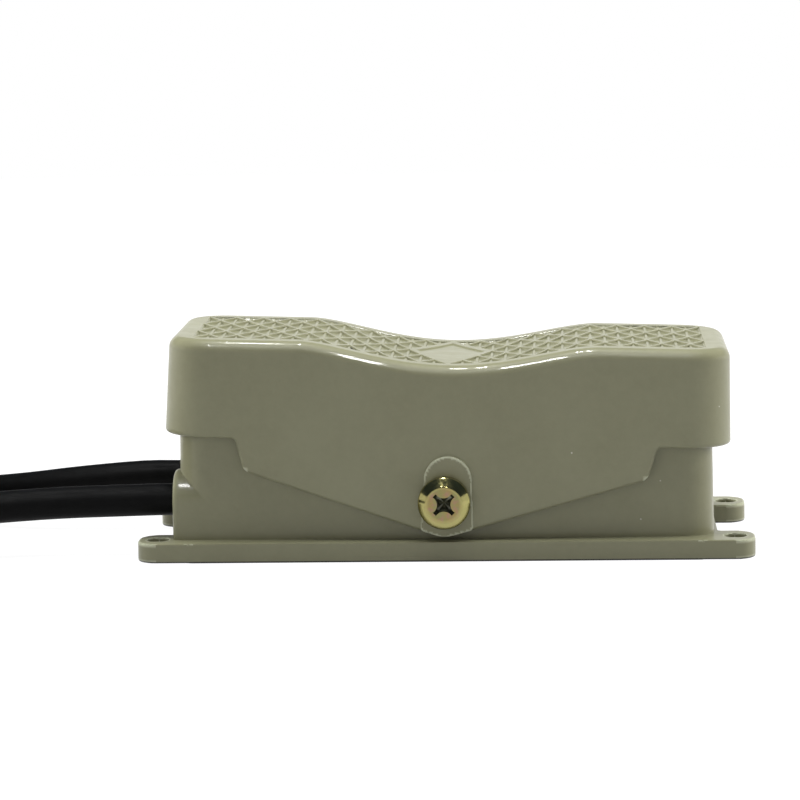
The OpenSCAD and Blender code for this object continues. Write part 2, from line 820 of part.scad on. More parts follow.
module rod(side) {
  color(steel)
  translate([side * rod_x, 0, -side * rest_drop])
    rod_form();
}

module rod_clip(side) {
  color(steel)
  translate([side * rod_x, 0, clip_z - side * rest_drop])
    difference() {
      cylinder(d = rod_d + 5 * clip_t, h = clip_t, $fn = smooth);
      translate([0, 0, -over])
        cylinder(d = rod_d - 2 * groove_t, h = clip_t + 2 * over, $fn = smooth);
      translate([0, -rod_d / 4, -over])
        cube([rod_d, rod_d / 2, clip_t + 2 * over]);
    }
}

module rod_left() { rod(-1); }
module rod_right() { rod(1); }
module rod_clip_left() { rod_clip(-1); }
module rod_clip_right() { rod_clip(1); }

module return_spring(side) {
  low = spring_floor + seat_t;
  high = head_top - rod_head_t - side * rest_drop;
  curl_r = (rod_head_d - wire_d) / 2 - part_gap;
  rise = high - low - wire_d;
  steps = 8;
  total = spring_turns * steps;
  // the first and the last turn lie nearly flat
  flat_share = 0.12;
  path = [for (k = [0:total])
    let (t = k / total, e = 1 / spring_turns)
    let (h = t < e ? flat_share * t : t > 1 - e ? 1 - flat_share * (1 - t)
      : flat_share * e + (t - e) / (1 - 2 * e) * (1 - 2 * flat_share * e))
    [curl_r * cos(360 * spring_turns * t), curl_r * sin(360 * spring_turns * t),
      low + wire_d / 2 + rise * h]];
  color(steel)
  translate([side * rod_x, 0, 0])
    tube(path, wire_d / 2, 6);
}

module return_spring_left() { return_spring(-1); }
module return_spring_right() { return_spring(1); }

module spring_seats() {
  color(steel)
  for (sx = [-1, 1])
    translate([sx * rod_x, 0, spring_floor])
      difference() {
        cylinder(d = spring_pocket_d - seat_t / 2, h = seat_t, $fn = smooth);
        translate([0, 0, -over])
          cylinder(d = rod_d + seat_t, h = seat_t + 2 * over, $fn = smooth);
      }
}

module guide_bushes() {
  color(bronze)
  for (sx = [-1, 1])
    translate([sx * rod_x, 0, guide_low])
      difference() {
        cylinder(d = guide_bush_d, h = guide_bush_h, $fn = smooth);
        translate([0, 0, -over])
          cylinder(d = rod_d + 2 * running, h = guide_bush_h + 2 * over, $fn = smooth);
      }
}

module rod_seals() {
  color(nitrile)
  for (sx = [-1, 1])
    translate([sx * rod_x, 0, guide_low + guide_bush_h])
      difference() {
        cylinder(d = guide_bush_d, h = seal_t, $fn = smooth);
        translate([0, 0, -over])
          cylinder(d = rod_d + running, h = seal_t + 2 * over, $fn = smooth);
      }
}

// rubber buffers that end the stroke

module stop_buffers() {
  color(nitrile)
  for (sx = [-1, 1])
    translate([sx * buffer_x, 0, house_h]) {
      translate([0, 0, -buffer_sink])
        cylinder(d = buffer_stem_d, h = buffer_sink + over, $fn = smooth);
      cylinder(d = buffer_d, h = buffer_h / 2, $fn = smooth);
      translate([0, 0, buffer_h / 2])
        cylinder(d1 = buffer_d, d2 = buffer_d * 0.8, h = buffer_h / 2, $fn = smooth);
    }
}

// the two snap-action switches and their brackets

module bracket(side) {
  color(steel)
  scale([side, 1, 1])
  difference() {
    translate([case_back + bracket_in, case_w / 2, case_low])
      rotate([90, 0, 90])
        linear_extrude(height = bracket_len)
          polygon([[0, 0], [bracket_t, 0], [bracket_t, bracket_top - case_low - bracket_t],
            [bracket_foot, bracket_top - case_low - bracket_t],
            [bracket_foot, bracket_top - case_low], [0, bracket_top - case_low]]);
    for (k = [0, 1]) {
      translate([bracket_post_x(k), bracket_post_y, bracket_top - 2 * bracket_t])
        cylinder(d = bracket_screw_d, h = 3 * bracket_t, $fn = smooth);
      translate([case_hole_x(k), case_w / 2 + bracket_t / 2, case_low + case_hole_z])
        rotate([90, 0, 0])
          cylinder(d = small_screw_d, h = 2 * bracket_t, center = true, $fn = smooth);
    }
  }
}

function case_hole_x(k) = case_back + case_hole_in + k * case_hole_pitch;

module bracket_left() { bracket(-1); }
module bracket_right() { bracket(1); }

module bracket_screws() {
  head = bracket_screw_d * 0.6;
  color(steel)
  for (sx = [-1, 1], k = [0, 1])
    translate([sx * bracket_post_x(k), bracket_post_y, bracket_top - bracket_t - head])
      difference() {
        union() {
          cylinder(d = bracket_screw_d * 1.8, h = head, $fn = smooth);
          cylinder(d = bracket_screw_d, h = head + bracket_t + 2 * bracket_screw_d - over, $fn = smooth);
        }
        cube([bracket_screw_d * 2, bracket_screw_d / 4, head], center = true);
      }
}

module switch_case(side) {
  color(case_brown)
  scale([side, 1, 1])
  difference() {
    union() {
      translate([case_back, -case_w / 2, case_low])
        cube([case_len, case_w, case_h]);
      // ears that carry the lever's hinge pin
      for (sy = [-1, 1])
        translate([arm_x, sy * (arm_w + ear_plate_t + 2 * ear_plate_gap) / 2, case_top])
          cube([ear_plate_w, ear_plate_t, 2 * ear_plate_h], center = true);
    }
    translate([arm_x + button_x, 0, case_top - case_h / 2])
      cylinder(d = button_d + 4 * running, h = case_h / 2 + over, $fn = smooth);
    for (k = [0, 1])
      translate([case_hole_x(k), 0, case_low + case_hole_z])
        rotate([90, 0, 0])
          cylinder(d = small_screw_d, h = case_w + 2 * over, center = true, $fn = smooth);
    translate([arm_x, 0, arm_z])
      rotate([90, 0, 0])
        cylinder(d = hinge_pin_d + 2 * running, h = case_w, center = true, $fn = smooth);
  }
}

module switch_case_left() { switch_case(-1); }
module switch_case_right() { switch_case(1); }

module switch_blades() {
  color(brass)
  for (sx = [-1, 1], k = [0:2])
    translate([sx * (case_back - blade_len / 2), 0, case_low + blade_first + k * blade_rise])
      difference() {
        cube([blade_len, blade_w, blade_t], center = true);
        translate([-sx * blade_len / 5, 0, 0])
          cylinder(d = blade_w / 3, h = 2 * blade_t, center = true, $fn = smooth);
      }
}

module switch_screws() {
  head = small_screw_d * 0.7;
  color(steel)
  for (sx = [-1, 1], k = [0, 1])
    translate([sx * case_hole_x(k), -case_w / 2 - head, case_low + case_hole_z])
      rotate([-90, 0, 0])
        difference() {
          union() {
            cylinder(d = small_screw_d * 1.8, h = head, $fn = smooth);
            cylinder(d = small_screw_d, h = head + case_w + bracket_t + nut_t + over, $fn = smooth);
          }
          cube([small_screw_d * 2, small_screw_d / 4, head], center = true);
        }
}

module switch_nuts() {
  color(steel)
  for (sx = [-1, 1], k = [0, 1])
    translate([sx * case_hole_x(k), case_w / 2 + bracket_t, case_low + case_hole_z])
      rotate([-90, 0, 0])
        difference() {
          cylinder(d = small_screw_d * 2, h = nut_t, $fn = 6);
          translate([0, 0, -over])
            cylinder(d = small_screw_d, h = nut_t + 2 * over, $fn = smooth);
        }
}

module lever(side) {
  // drawn at its rest angle, which follows the rod's height
  rest_arm = arm_per_deg * (swing - side * rest_tilt);
  color(steel)
  scale([side, 1, 1])
  translate([arm_x, 0, arm_z])
    rotate([0, -rest_arm, 0]) {
      translate([-arm_tail, -arm_w / 2, -arm_t / 2])
        cube([arm_len + arm_tip + arm_tail, arm_w, arm_t]);
      rotate([90, 0, 0])
        cylinder(d = hinge_pin_d, h = arm_w + 2 * (ear_plate_gap + ear_plate_t), center = true,
          $fn = smooth);
    }
}

module lever_left() { lever(-1); }
module lever_right() { lever(1); }

module button(side) {
  pressed_top = arm_z - arm_t / 2 - button_gap;
  lift = button_share * drop_per_deg * (swing - side * rest_tilt);
  depth = case_h / 2 - 5 * button_gap;
  color(button_red)
  scale([side, 1, 1])
  translate([arm_x + button_x, 0, pressed_top + lift - depth])
    rotate_extrude($fn = smooth)
      polygon([[0, 0], [button_d / 2, 0], [button_d / 2, depth - button_tip],
        [button_tip, depth], [0, depth]]);
}

module button_left() { button(-1); }
module button_right() { button(1); }

// the cables and their fittings

module cable_seal(side) {
  color(nitrile)
  translate([-seal_x, side * cord_y, cord_z])
    rotate([0, 90, 0])
      difference() {
        cylinder(d = seal_d, h = seal_len, $fn = smooth);
        translate([0, 0, -over])
          cylinder(d = cord_d, h = seal_len + 2 * over, $fn = smooth);
      }
}

module cable_seal_front() { cable_seal(-1); }
module cable_seal_rear() { cable_seal(1); }

module cable_clamps() {
  color(steel)
  for (sy = [-1, 1])
    difference() {
      translate([-clamp_x, sy * (clamp_post_y - post_d / 2 + inner_depth / 2) / 2,
        cord_z - cord_r - clamp_bar_t / 2])
        cube([clamp_w, inner_depth / 2 - clamp_post_y + post_d / 2 - part_gap * 2, clamp_bar_t],
          center = true);
      translate([-clamp_x, sy * clamp_post_y, cord_z - cord_r - 2 * clamp_bar_t])
        cylinder(d = bracket_screw_d, h = 3 * clamp_bar_t, $fn = smooth);
    }
}

module clamp_screws() {
  head = bracket_screw_d * 0.6;
  color(steel)
  for (sy = [-1, 1])
    translate([-clamp_x, sy * clamp_post_y, cord_z - cord_r - clamp_bar_t - head])
      difference() {
        union() {
          cylinder(d = bracket_screw_d * 1.8, h = head, $fn = smooth);
          cylinder(d = bracket_screw_d, h = head + clamp_bar_t + 2 * bracket_screw_d - over, $fn = smooth);
        }
        cube([bracket_screw_d * 2, bracket_screw_d / 4, head], center = true);
      }
}

module earth_tag() {
  color(brass)
  difference() {
    union() {
      translate([-earth_x, 0, earth_low - blade_t])
        cylinder(d = 2 * bracket_screw_d, h = blade_t, $fn = smooth);
      translate([-earth_x, 0, earth_low - blade_t / 2])
        cube([bracket_screw_d, 4 * bracket_screw_d, blade_t], center = true);
    }
    translate([-earth_x, 0, earth_low - 2 * blade_t])
      cylinder(d = bracket_screw_d, h = 3 * blade_t, $fn = smooth);
  }
}

module earth_screw() {
  head = bracket_screw_d * 0.6;
  color(zinc_yellow)
  translate([-earth_x, 0, earth_low - blade_t - head])
    difference() {
      union() {
        cylinder(d = bracket_screw_d * 1.8, h = head, $fn = smooth);
        cylinder(d = bracket_screw_d, h = head + blade_t + 2 * bracket_screw_d - over, $fn = smooth);
      }
      cube([bracket_screw_d * 2, bracket_screw_d / 4, head], center = true);
    }
}

// each cable lies in one flat spiral that runs inwards, the front one on the rear one
rear_low = cord_r + tie_t;
front_low = rear_low + coil_step;
coil_mid = [-entry_x - coil_back, 0];
function coil_path(side, low) =
  [for (k = [0:round(coil_turns * coil_rings)])
    let (r = coil_out - coil_step * k / coil_rings)
    let (a = side * 90 + side * 360 * k / coil_rings)
    [coil_mid[0] + r * cos(a), coil_mid[1] + r * sin(a), low]];
front_coil = coil_path(-1, front_low);
rear_coil = coil_path(1, rear_low);
// both cables reach their coils heading straight back
coil_way = [-1, 0, 0];

// a route put at its exit, whose far end is eased over to the start of the coil
function placed(side, p, coil) =
  let (exit = [-entry_x, side * cord_y, cord_z])
  let (last = len(p) - 1)
  let (miss = coil[0] - exit - p[last])
  [for (k = [0:last]) exit + p[k] + miss * max(0, k - 2) / (last - 2)];
front_path = through(placed(-1, front_run, front_coil), 2);
rear_path = through(placed(1, rear_run, rear_coil), 2);

// the least gaps and the lengths, printed
skip = round(coil_rings / 3);
function least(p) =
  min([for (i = [0:len(p) - skip - 1], j = [i + skip:len(p) - 1]) norm(p[i] - p[j])]);
function apart(p, q) = min([for (a = p, b = q) norm(a - b)]);
function run_len(p, i = 1) = i < len(p) ? norm(p[i] - p[i - 1]) + run_len(p, i + 1) : 0;
echo(front_coil_gap = least(front_coil) - cord_d, rear_coil_gap = least(rear_coil) - cord_d);
echo(coils_apart = apart(front_coil, rear_coil) - cord_d);
function from_skip(p) = [for (i = [skip:len(p) - 1]) p[i]];
echo(front_run_to_coils = [apart(front_path, from_skip(front_coil)) - cord_d,
  apart(front_path, rear_coil) - cord_d]);
echo(rear_run_to_coils = [apart(rear_path, from_skip(rear_coil)) - cord_d,
  apart(rear_path, front_coil) - cord_d]);
echo(front_length = run_len(front_path) + run_len(front_coil));
echo(rear_length = run_len(rear_path) + run_len(rear_coil));

module cable_front() {
  color(black_rubber)
  tube(front_path, cord_r, tube_sides, final = coil_way);
}

module cable_rear() {
  color(black_rubber)
  tube(rear_path, cord_r, tube_sides, final = coil_way);
}

module coil_front() {
  color(black_rubber)
  tube(front_coil, cord_r, coil_sides, first = coil_way);
}

module coil_rear() {
  color(black_rubber)
  tube(rear_coil, cord_r, coil_sides, first = coil_way);
}

// the three cores run straight out of the cable's end and then bend inwards
function core_path(path, side, k) =
  let (last = len(path) - 1)
  let (way = lean(path, last))
  let (across = unit(cross([0, 0, 1], way)))
  let (root = path[last] + core_d * 0.7 * (cos(120 * k) * across + sin(120 * k) * [0, 0, 1]))
  [root, root + way * core_bend,
    root + way * core_bend + turned(way, side * core_turn) * (core_len - core_bend)];

module core_ends(path, side) {
  color(case_brown)
  for (k = [0:2])
    tube(core_path(path, side, k), core_d / 2, tube_sides);
}

module ferrules(path, side) {
  color(steel)
  for (k = [0:2]) {
    core = core_path(path, side, k);
    way = lean(core, 2);
    tube([core[2], core[2] + way * ferrule_len], core_d * 0.35, tube_sides);
  }
}

module core_ends_front() { core_ends(front_coil, -1); }
module core_ends_rear() { core_ends(rear_coil, 1); }
module ferrules_front() { ferrules(front_coil, -1); }
module ferrules_rear() { ferrules(rear_coil, 1); }

module coil_ties() {
  low_r = coil_out - coil_step * coil_turns - cord_r;
  high_r = coil_out + cord_r;
  inner_w = high_r - low_r + tie_t / 2;
  inner_h = 2 * coil_step;
  color(nylon)
  for (a = [0, 145])
    translate([coil_mid[0], coil_mid[1], 0])
      rotate([0, 0, a])
        translate([(low_r + high_r) / 2, 0, 0])
          difference() {
            union() {
              translate([0, 0, inner_h / 2 + tie_t])
                cube([inner_w + 2 * tie_t, tie_w, inner_h + 2 * tie_t], center = true);
              translate([0, 0, inner_h + 2.5 * tie_t])
                cube([1.4 * tie_w, 1.4 * tie_w, 3 * tie_t], center = true);
            }
            translate([0, 0, inner_h / 2 + tie_t])
              cube([inner_w, 2 * tie_w, inner_h], center = true);
          }
}

// insulated cores from each cable's inner end to the switch and the earth tag
module leads(side, blades_x, via) {
  start = [-entry_x + front_run[0][0], side * cord_y, cord_z];
  colors = [[0.55, 0.30, 0.12], [0.12, 0.25, 0.60], [0.20, 0.55, 0.20]];
  ahead = 1.5 * lead_d;
  for (k = [0, 1]) {
    spread = (k - 0.5) * 1.6 * lead_d;
    blade_z = case_low + blade_first + 2 * k * blade_rise;
    color(colors[k])
    tube(through(concat([start + [0, 0, spread], start + [2 * lead_d, 0, spread]],
      [for (v = via) [v[0], v[1], blade_z]],
      [[blades_x - side * ahead, 0, blade_z], [blades_x, 0, blade_z]]), 2),
      lead_d / 2, 6, first = [1, 0, 0], final = [side, 0, 0]);
  }
  tag_y = 2 * bracket_screw_d;
  tag_z = earth_low - blade_t / 2;
  color(colors[2])
  tube(through([start + [0, -side * 1.4 * lead_d, 0], start + [2 * lead_d, -side * 1.8 * lead_d, 0],
    [-earth_x, side * (tag_y + 2.8 * lead_d), tag_z - ahead],
    [-earth_x, side * (tag_y + ahead), tag_z], [-earth_x, side * tag_y, tag_z]], 3),
    lead_d / 2, 6, first = [1, 0, 0], final = [0, -side, 0]);
}

module leads_front() {
  leads(-1, blade_len - case_back, front_leads);
}

module leads_rear() {
  leads(1, case_back - blade_len, rear_leads);
}

housing();
bottom_plate();
plate_gasket();
plate_screws();
treadle();
pivot_bushes();
contact_studs();
pivot_screw_front();
pivot_screw_rear();
pivot_washers();
rod_left();
rod_right();
rod_clip_left();
rod_clip_right();
return_spring_left();
return_spring_right();
spring_seats();
guide_bushes();
rod_seals();
stop_buffers();
bracket_left();
bracket_right();
bracket_screws();
switch_case_left();
switch_case_right();
switch_blades();
switch_screws();
switch_nuts();
lever_left();
lever_right();
button_left();
button_right();
cable_seal_front();
cable_seal_rear();
cable_clamps();
clamp_screws();
leads_front();
leads_rear();
earth_tag();
earth_screw();
cable_front();
cable_rear();
coil_front();
coil_rear();
core_ends_front();
core_ends_rear();
ferrules_front();
ferrules_rear();
coil_ties();
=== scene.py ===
"""Treadle foot switch: the finished look of the pieces, set on the packed model."""
import math

import bmesh
import bpy
import numpy as np
from bpy.props import FloatProperty, FloatVectorProperty, PointerProperty
from mathutils import Matrix, Vector


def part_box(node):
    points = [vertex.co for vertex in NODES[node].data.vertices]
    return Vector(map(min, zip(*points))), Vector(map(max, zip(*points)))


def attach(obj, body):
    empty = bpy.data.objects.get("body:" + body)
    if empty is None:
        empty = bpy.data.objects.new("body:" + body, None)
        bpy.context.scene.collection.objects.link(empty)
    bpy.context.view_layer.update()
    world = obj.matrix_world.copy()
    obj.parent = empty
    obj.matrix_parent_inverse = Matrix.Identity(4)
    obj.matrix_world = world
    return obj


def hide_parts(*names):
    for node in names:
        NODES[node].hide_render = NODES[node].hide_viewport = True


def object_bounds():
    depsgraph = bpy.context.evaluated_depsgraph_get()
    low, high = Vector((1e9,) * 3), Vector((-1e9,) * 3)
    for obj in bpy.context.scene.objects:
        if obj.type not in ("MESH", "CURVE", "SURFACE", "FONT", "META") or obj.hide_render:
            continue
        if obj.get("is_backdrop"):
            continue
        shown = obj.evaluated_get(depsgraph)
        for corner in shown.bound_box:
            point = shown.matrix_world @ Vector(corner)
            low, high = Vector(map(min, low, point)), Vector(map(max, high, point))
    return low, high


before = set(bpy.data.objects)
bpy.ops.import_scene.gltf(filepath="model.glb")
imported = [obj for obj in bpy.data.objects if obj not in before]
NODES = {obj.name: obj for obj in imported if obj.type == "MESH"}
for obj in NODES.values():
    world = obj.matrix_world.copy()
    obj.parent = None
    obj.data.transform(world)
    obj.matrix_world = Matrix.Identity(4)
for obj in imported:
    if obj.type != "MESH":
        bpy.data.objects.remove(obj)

cad_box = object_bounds()

bl_info = {
    "name": "Treadle foot switch",
    "version": (1, 0, 0),
    "blender": (4, 5, 0),
    "location": "View3D > Sidebar > Foot Switch",
    "description": "Builds the cast pieces, screws, cables and finishes of a treadle foot switch",
    "category": "Object",
}

MM = 0.001
HOUSING_LOW, HOUSING_HIGH = (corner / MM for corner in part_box("housing"))
# height of the pivot's axis, in millimetres
PIVOT_Z = 18.2
# the seals stand this far inside the face that the cables leave
SEAL_IN = 1.8
ENTRY_X = -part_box("cable_seal_front")[0].x / MM + SEAL_IN


def length(name, millimetres, description):
    """A length property whose default is given in millimetres."""
    return FloatProperty(name=name, description=description, default=millimetres * MM,
                         unit="LENGTH", precision=5)


def angle(name, degrees, description):
    """An angle property whose default is given in degrees."""
    return FloatProperty(name=name, description=description, default=math.radians(degrees),
                         subtype="ANGLE")


def colour(name, value, description):
    """A colour property."""
    return FloatVectorProperty(name=name, description=description, default=value,
                               subtype="COLOR", size=3, min=0.0, max=1.0)


def level(name, value, description):
    """A plain number property."""
    return FloatProperty(name=name, description=description, default=value, min=0.0)


class HousingSizes(bpy.types.PropertyGroup):
    """Sizes of the cast housing."""
    base_len: length("Base length", HOUSING_HIGH.x - HOUSING_LOW.x, "Length over the ears")
    base_depth: length("Base depth", HOUSING_HIGH.y - HOUSING_LOW.y, "Depth of the flange")
    flange_t: length("Flange thickness", 6, "Thickness of the flange")
    flange_mid: length("Flange length", 168, "Length of the flange between its ears")
    ear_w: length("Ear width", 17, "Width of each ear")
    ear_r: length("Ear corner", 6.5, "Corner radius of the ears")
    ear_fillet: length("Ear fillet", 1.5, "Fillet between an ear and the flange")
    hole_d: length("Fixing hole", 7, "Diameter of the fixing holes")
    hole_x: length("Hole place along", 89, "Distance of the fixing holes from the middle, along")
    hole_y: length("Hole place across", 31.5,
                   "Distance of the fixing holes from the middle, across")
    wall_len: length("Wall length", 165, "Length over the walls")
    wall_depth: length("Wall depth", 65, "Depth over the walls")
    height: length("Height", HOUSING_HIGH.z, "Height of the deck")
    corner_r: length("Wall corner", 10, "Radius of the vertical corners")
    wall_t: length("Wall thickness", 3, "Thickness of the walls")
    deck_t: length("Deck thickness", 3.5, "Thickness of the deck")
    draft: angle("Wall draft", 0.85, "Draft of the outer walls")
    foot_fillet: length("Foot fillet", 0.25, "Fillet between the walls and the flange")
    flange_round: length("Flange edge", 0.7, "Radius of the flange's upper edge")
    sole_round: length("Sole edge", 0.7, "Radius of the flange's lower edge")
    deck_round: length("Deck edge", 1.5, "Radius of the deck's edge")
    entry_r: length("Cable entry", 9.5, "Radius of the cable entries")
    entry_x: length("Cable entry face", ENTRY_X - 0.5, "Distance of the entries' face")
    entry_round: length("Cable entry edge", 1.6, "Radius of the cable entries' outer edge")


class TreadleSizes(bpy.types.PropertyGroup):
    """Sizes of the cast treadle, drawn level."""
    length: length("Length", 175, "Length at the lower edge")
    depth: length("Depth", 72.4, "Depth at the lower edge")
    top: length("Height of the lobes", 66, "Height of the two lobes above the floor")
    dip: length("Saddle depth", 6.5, "Depth of the saddle")
    dip_half: length("Saddle half length", 46, "Half length of the saddle")
    skirt_z: length("End skirt height", 36, "Height of the end skirts' lower edge")
    step_x: length("Side skirt half length", 64.8, "Half length of the side skirts")
    skirt_t: length("Skirt thickness", 2.6, "Thickness of the skirts")
    roof_t: length("Roof thickness", 4, "Thickness of the roof")
    corner_r: length("Corner", 15, "Radius of the vertical corners")
    edge_r: length("Top edge", 3.5, "Radius of the top edge")
    draft: angle("Draft", 2, "Draft of the skirts")
    tilt: angle("Rest tilt", 1.8, "Tilt at rest, right side down")
    pivot_z: length("Pivot height", PIVOT_Z, "Height of the pivot axis")
    lobe_r: length("Pivot lobe", 11, "Radius of the skirt round the pivot")
    pad_w: length("Pad width", 14.6, "Width of the raised pad")
    pad_x: length("Pad place", 0.9, "Middle of the pad, along the treadle")
    pad_z: length("Pad height", 24.8, "Height of the middle of the pad's round top")
    pad_y: length("Pad face", 37.6, "Distance of the pad's face from the middle")
    pad_round: length("Pad edge", 0.6, "Radius of the pad's edge")
    rim_round: length("Skirt rim", 1.1, "Radius of the skirts' lower rim")
    bush_d: length("Bush hole", 12.88, "Diameter of the hole for the pivot bush")


class TreadSizes(bpy.types.PropertyGroup):
    """Sizes of the anti-slip tread."""
    pitch: length("Half lozenge", 4.38, "Half the width of one lozenge, along the treadle")
    lozenge: length("Lozenge length", 18.4, "Length of one lozenge, across the treadle")
    rib_w: length("Rib width", 1.1, "Width of the slanting ribs")
    spine_w: length("Spine width", 0.45, "Width of the thin rib that halves each lozenge")
    pocket_d: length("Pocket depth", 0.68, "Depth of the pockets")
    spine_d: length("Spine depth", 0.36, "Depth of the thin ribs below the slanting ones")
    slope: length("Wall slope", 0.35, "Width of the pockets' sloping walls")
    plain_d: length("Plain depth", 0.4, "Depth of the smooth lozenge in the middle")
    margin: length("Margin", 8.6, "Plain margin round the tread")
    chamfer: length("Rib chamfer", 0.15, "Chamfer along the ribs' upper edges")


class ScrewSizes(bpy.types.PropertyGroup):
    """Sizes of the two pivot screws."""
    head_d: length("Head diameter", 16, "Diameter of the head")
    head_h: length("Head height", 6, "Height of the head")
    head_y: length("Head seat", 37.7, "Distance of the head's seat from the middle")
    shoulder_d: length("Shoulder", 8.8, "Diameter of the shoulder")
    thread_d: length("Thread", 8, "Diameter of the thread")
    thread_in: length("Thread depth", 8, "Length of the thread in the wall")
    recess_tip: length("Recess", 3.9, "Distance of the recess's tips from the middle")
    recess_depth: length("Recess depth", 4.6, "Depth of the cross recess")


class CableSizes(bpy.types.PropertyGroup):
    """Sizes of the two cables and of their coils."""
    diameter: length("Cable diameter", 10, "Diameter of each cable")
    side: length("Cable place", 23, "Distance of each cable from the middle")
    height: length("Cable height", 17.2, "Height of each cable where it leaves the housing")
    coil_r: length("Coil radius", 63, "Radius of the coil's outer turn")
    coil_step: length("Coil step", 10.5, "Distance from turn to turn")
    core_d: length("Core diameter", 2.2, "Diameter of each insulated core")
    core_len: length("Core length", 17, "Length of the bared cores")
    lead_d: length("Lead diameter", 2.4, "Diameter of the leads inside the housing")


class FinishColours(bpy.types.PropertyGroup):
    """Colours of the finishes."""
    enamel: colour("Enamel", (0.193, 0.187, 0.112), "Colour of the enamel")
    enamel_light: colour("Enamel, thin", (0.213, 0.208, 0.128), "Enamel where the coat is thin")
    # painted highlight, partly thin enamel: the light colour laid on sharply rounded edges
    enamel_edge: colour("Enamel, on edges", (0.50, 0.51, 0.38), "Enamel on the sharp edges")
    rubber: colour("Cable rubber", (0.003, 0.003, 0.003), "Colour of the cable's sheath")
    nitrile: colour("Nitrile", (0.03, 0.03, 0.032), "Colour of seals and buffers")
    zinc_gold: colour("Zinc, gold", (0.24, 0.185, 0.075), "Yellow passivated zinc")
    zinc_pink: colour("Zinc, pink", (0.27, 0.16, 0.11), "Pink tint in the zinc")
    zinc_green: colour("Zinc, green", (0.20, 0.19, 0.08), "Green tint in the zinc")
    recess: colour("Zinc, in the recess", (0.24, 0.24, 0.18), "Dull zinc in the cross recess")
    zinc_rim: colour("Zinc, on the rim", (0.42, 0.39, 0.15), "Zinc on the screw's sloping rim")
    steel: colour("Steel", (0.55, 0.56, 0.58), "Bright zinc plated steel")
    bronze: colour("Bronze", (0.45, 0.30, 0.14), "Sintered bronze")
    brass: colour("Brass", (0.65, 0.50, 0.20), "Plain brass")


class StageLevels(bpy.types.PropertyGroup):
    """The camera's place, the lamps and the backdrop."""
    distance: length("Camera distance", 1066.5, "Distance of the camera from the base")
    yaw: angle("Camera yaw", -2.0593, "Angle of the camera round the object")
    pitch: angle("Camera pitch", 10.3603, "Height of the camera above the floor, as an angle")
    roll: angle("Camera roll", -0.8458, "Roll of the camera")
    lens: length("Lens", 150.95, "Focal length on a sensor 36 mm wide")
    ambient: level("Ambient", 0.26, "Level of the light from all round")
    mirror: level("Backdrop", 1.0, "Level of the backdrop for the camera")
    key: level("Key lamp", 46.5, "Power of the large lamp overhead, in watts")
    fill: level("Fill lamp", 3, "Power of the lamp beside the camera, in watts")
    side: level("Side lamps", 18, "Power of the lamps at the two ends, in watts")
    glint: level("Ceiling lamps", 100, "Brightness of the small ceiling lamps")
    ceiling_z: length("Ceiling", 2400, "Height of the dark ceiling")


SETTINGS = {
    "housing": HousingSizes, "treadle": TreadleSizes, "tread": TreadSizes,
    "screw": ScrewSizes, "cable": CableSizes, "finish": FinishColours, "stage": StageLevels,
}


class FootswitchSettings(bpy.types.PropertyGroup):
    """All the settings of the foot switch."""
    housing: PointerProperty(type=HousingSizes)
    treadle: PointerProperty(type=TreadleSizes)
    tread: PointerProperty(type=TreadSizes)
    screw: PointerProperty(type=ScrewSizes)
    cable: PointerProperty(type=CableSizes)
    finish: PointerProperty(type=FinishColours)
    stage: PointerProperty(type=StageLevels)


class Millimetres:
    """Reads a settings group with its lengths in millimetres."""

    def __init__(self, group):
        self.group = group

    def __getattr__(self, name):
        value = getattr(self.group, name)
        unit = self.group.bl_rna.properties[name].unit
        return value / MM if unit == "LENGTH" else value


# Distances to simple forms, in millimetres, negative inside


def plate(x, y, half_x, half_y, r):
    """Distance in plan to a rectangle with round corners."""
    u, v = np.abs(x) - half_x + r, np.abs(y) - half_y + r
    return np.hypot(np.maximum(u, 0), np.maximum(v, 0)) + np.minimum(np.maximum(u, v), 0) - r


def rod(u, v, r):
    """Distance to an endless round bar."""
    return np.hypot(u, v) - r


def meet(a, b, r):
    """What lies in both forms, with their common edge rounded to radius r."""
    u, v = np.maximum(a + r, 0), np.maximum(b + r, 0)
    return np.minimum(-r, np.maximum(a, b)) + np.hypot(u, v)


def join(a, b, r):
    """Both forms together, with a fillet of radius r between them."""
    u, v = np.maximum(r - a, 0), np.maximum(r - b, 0)
    return np.maximum(r, np.minimum(a, b)) - np.hypot(u, v)


def both(*forms):
    """What lies in all the forms."""
    return np.maximum.reduce(np.broadcast_arrays(*forms))


def either(*forms):
    """All the forms together."""
    return np.minimum.reduce(np.broadcast_arrays(*forms))


def crossings(dist, field, low, step, axis):
    """Where the surface cuts the grid's lines along one axis, and which side is solid."""
    near = np.moveaxis(dist, axis, 0)
    change = (near[:-1] < 0) != (near[1:] < 0)
    index = np.moveaxis(np.array(np.nonzero(change)), 0, -1)
    order = [axis] + [k for k in range(3) if k != axis]
    cell = np.empty_like(index)
    cell[:, order] = index
    ahead = np.zeros(3, int)
    ahead[axis] = 1
    d0, d1 = dist[tuple(cell.T)], dist[tuple((cell + ahead).T)]
    t0, t1 = np.zeros(len(cell)), np.ones(len(cell))
    solid_first = d0 < 0
    a, b = d0.astype(float), d1.astype(float)
    passes, least_step = 3, 0.05
    for _ in range(passes):
        t = t0 + (t1 - t0) * np.clip(a / (a - b), least_step, 1 - least_step)
        at = low + step * (cell + t[:, None] * ahead)
        d = field(*at.T)
        left = (d < 0) == solid_first
        t0, a = np.where(left, t, t0), np.where(left, d, a)
        t1, b = np.where(left, t1, t), np.where(left, b, d)
    tiny = 1e-12
    t = t0 + (t1 - t0) * np.clip(a / (a - b + tiny), 0, 1)
    return cell, low + step * (cell + t[:, None] * ahead), solid_first


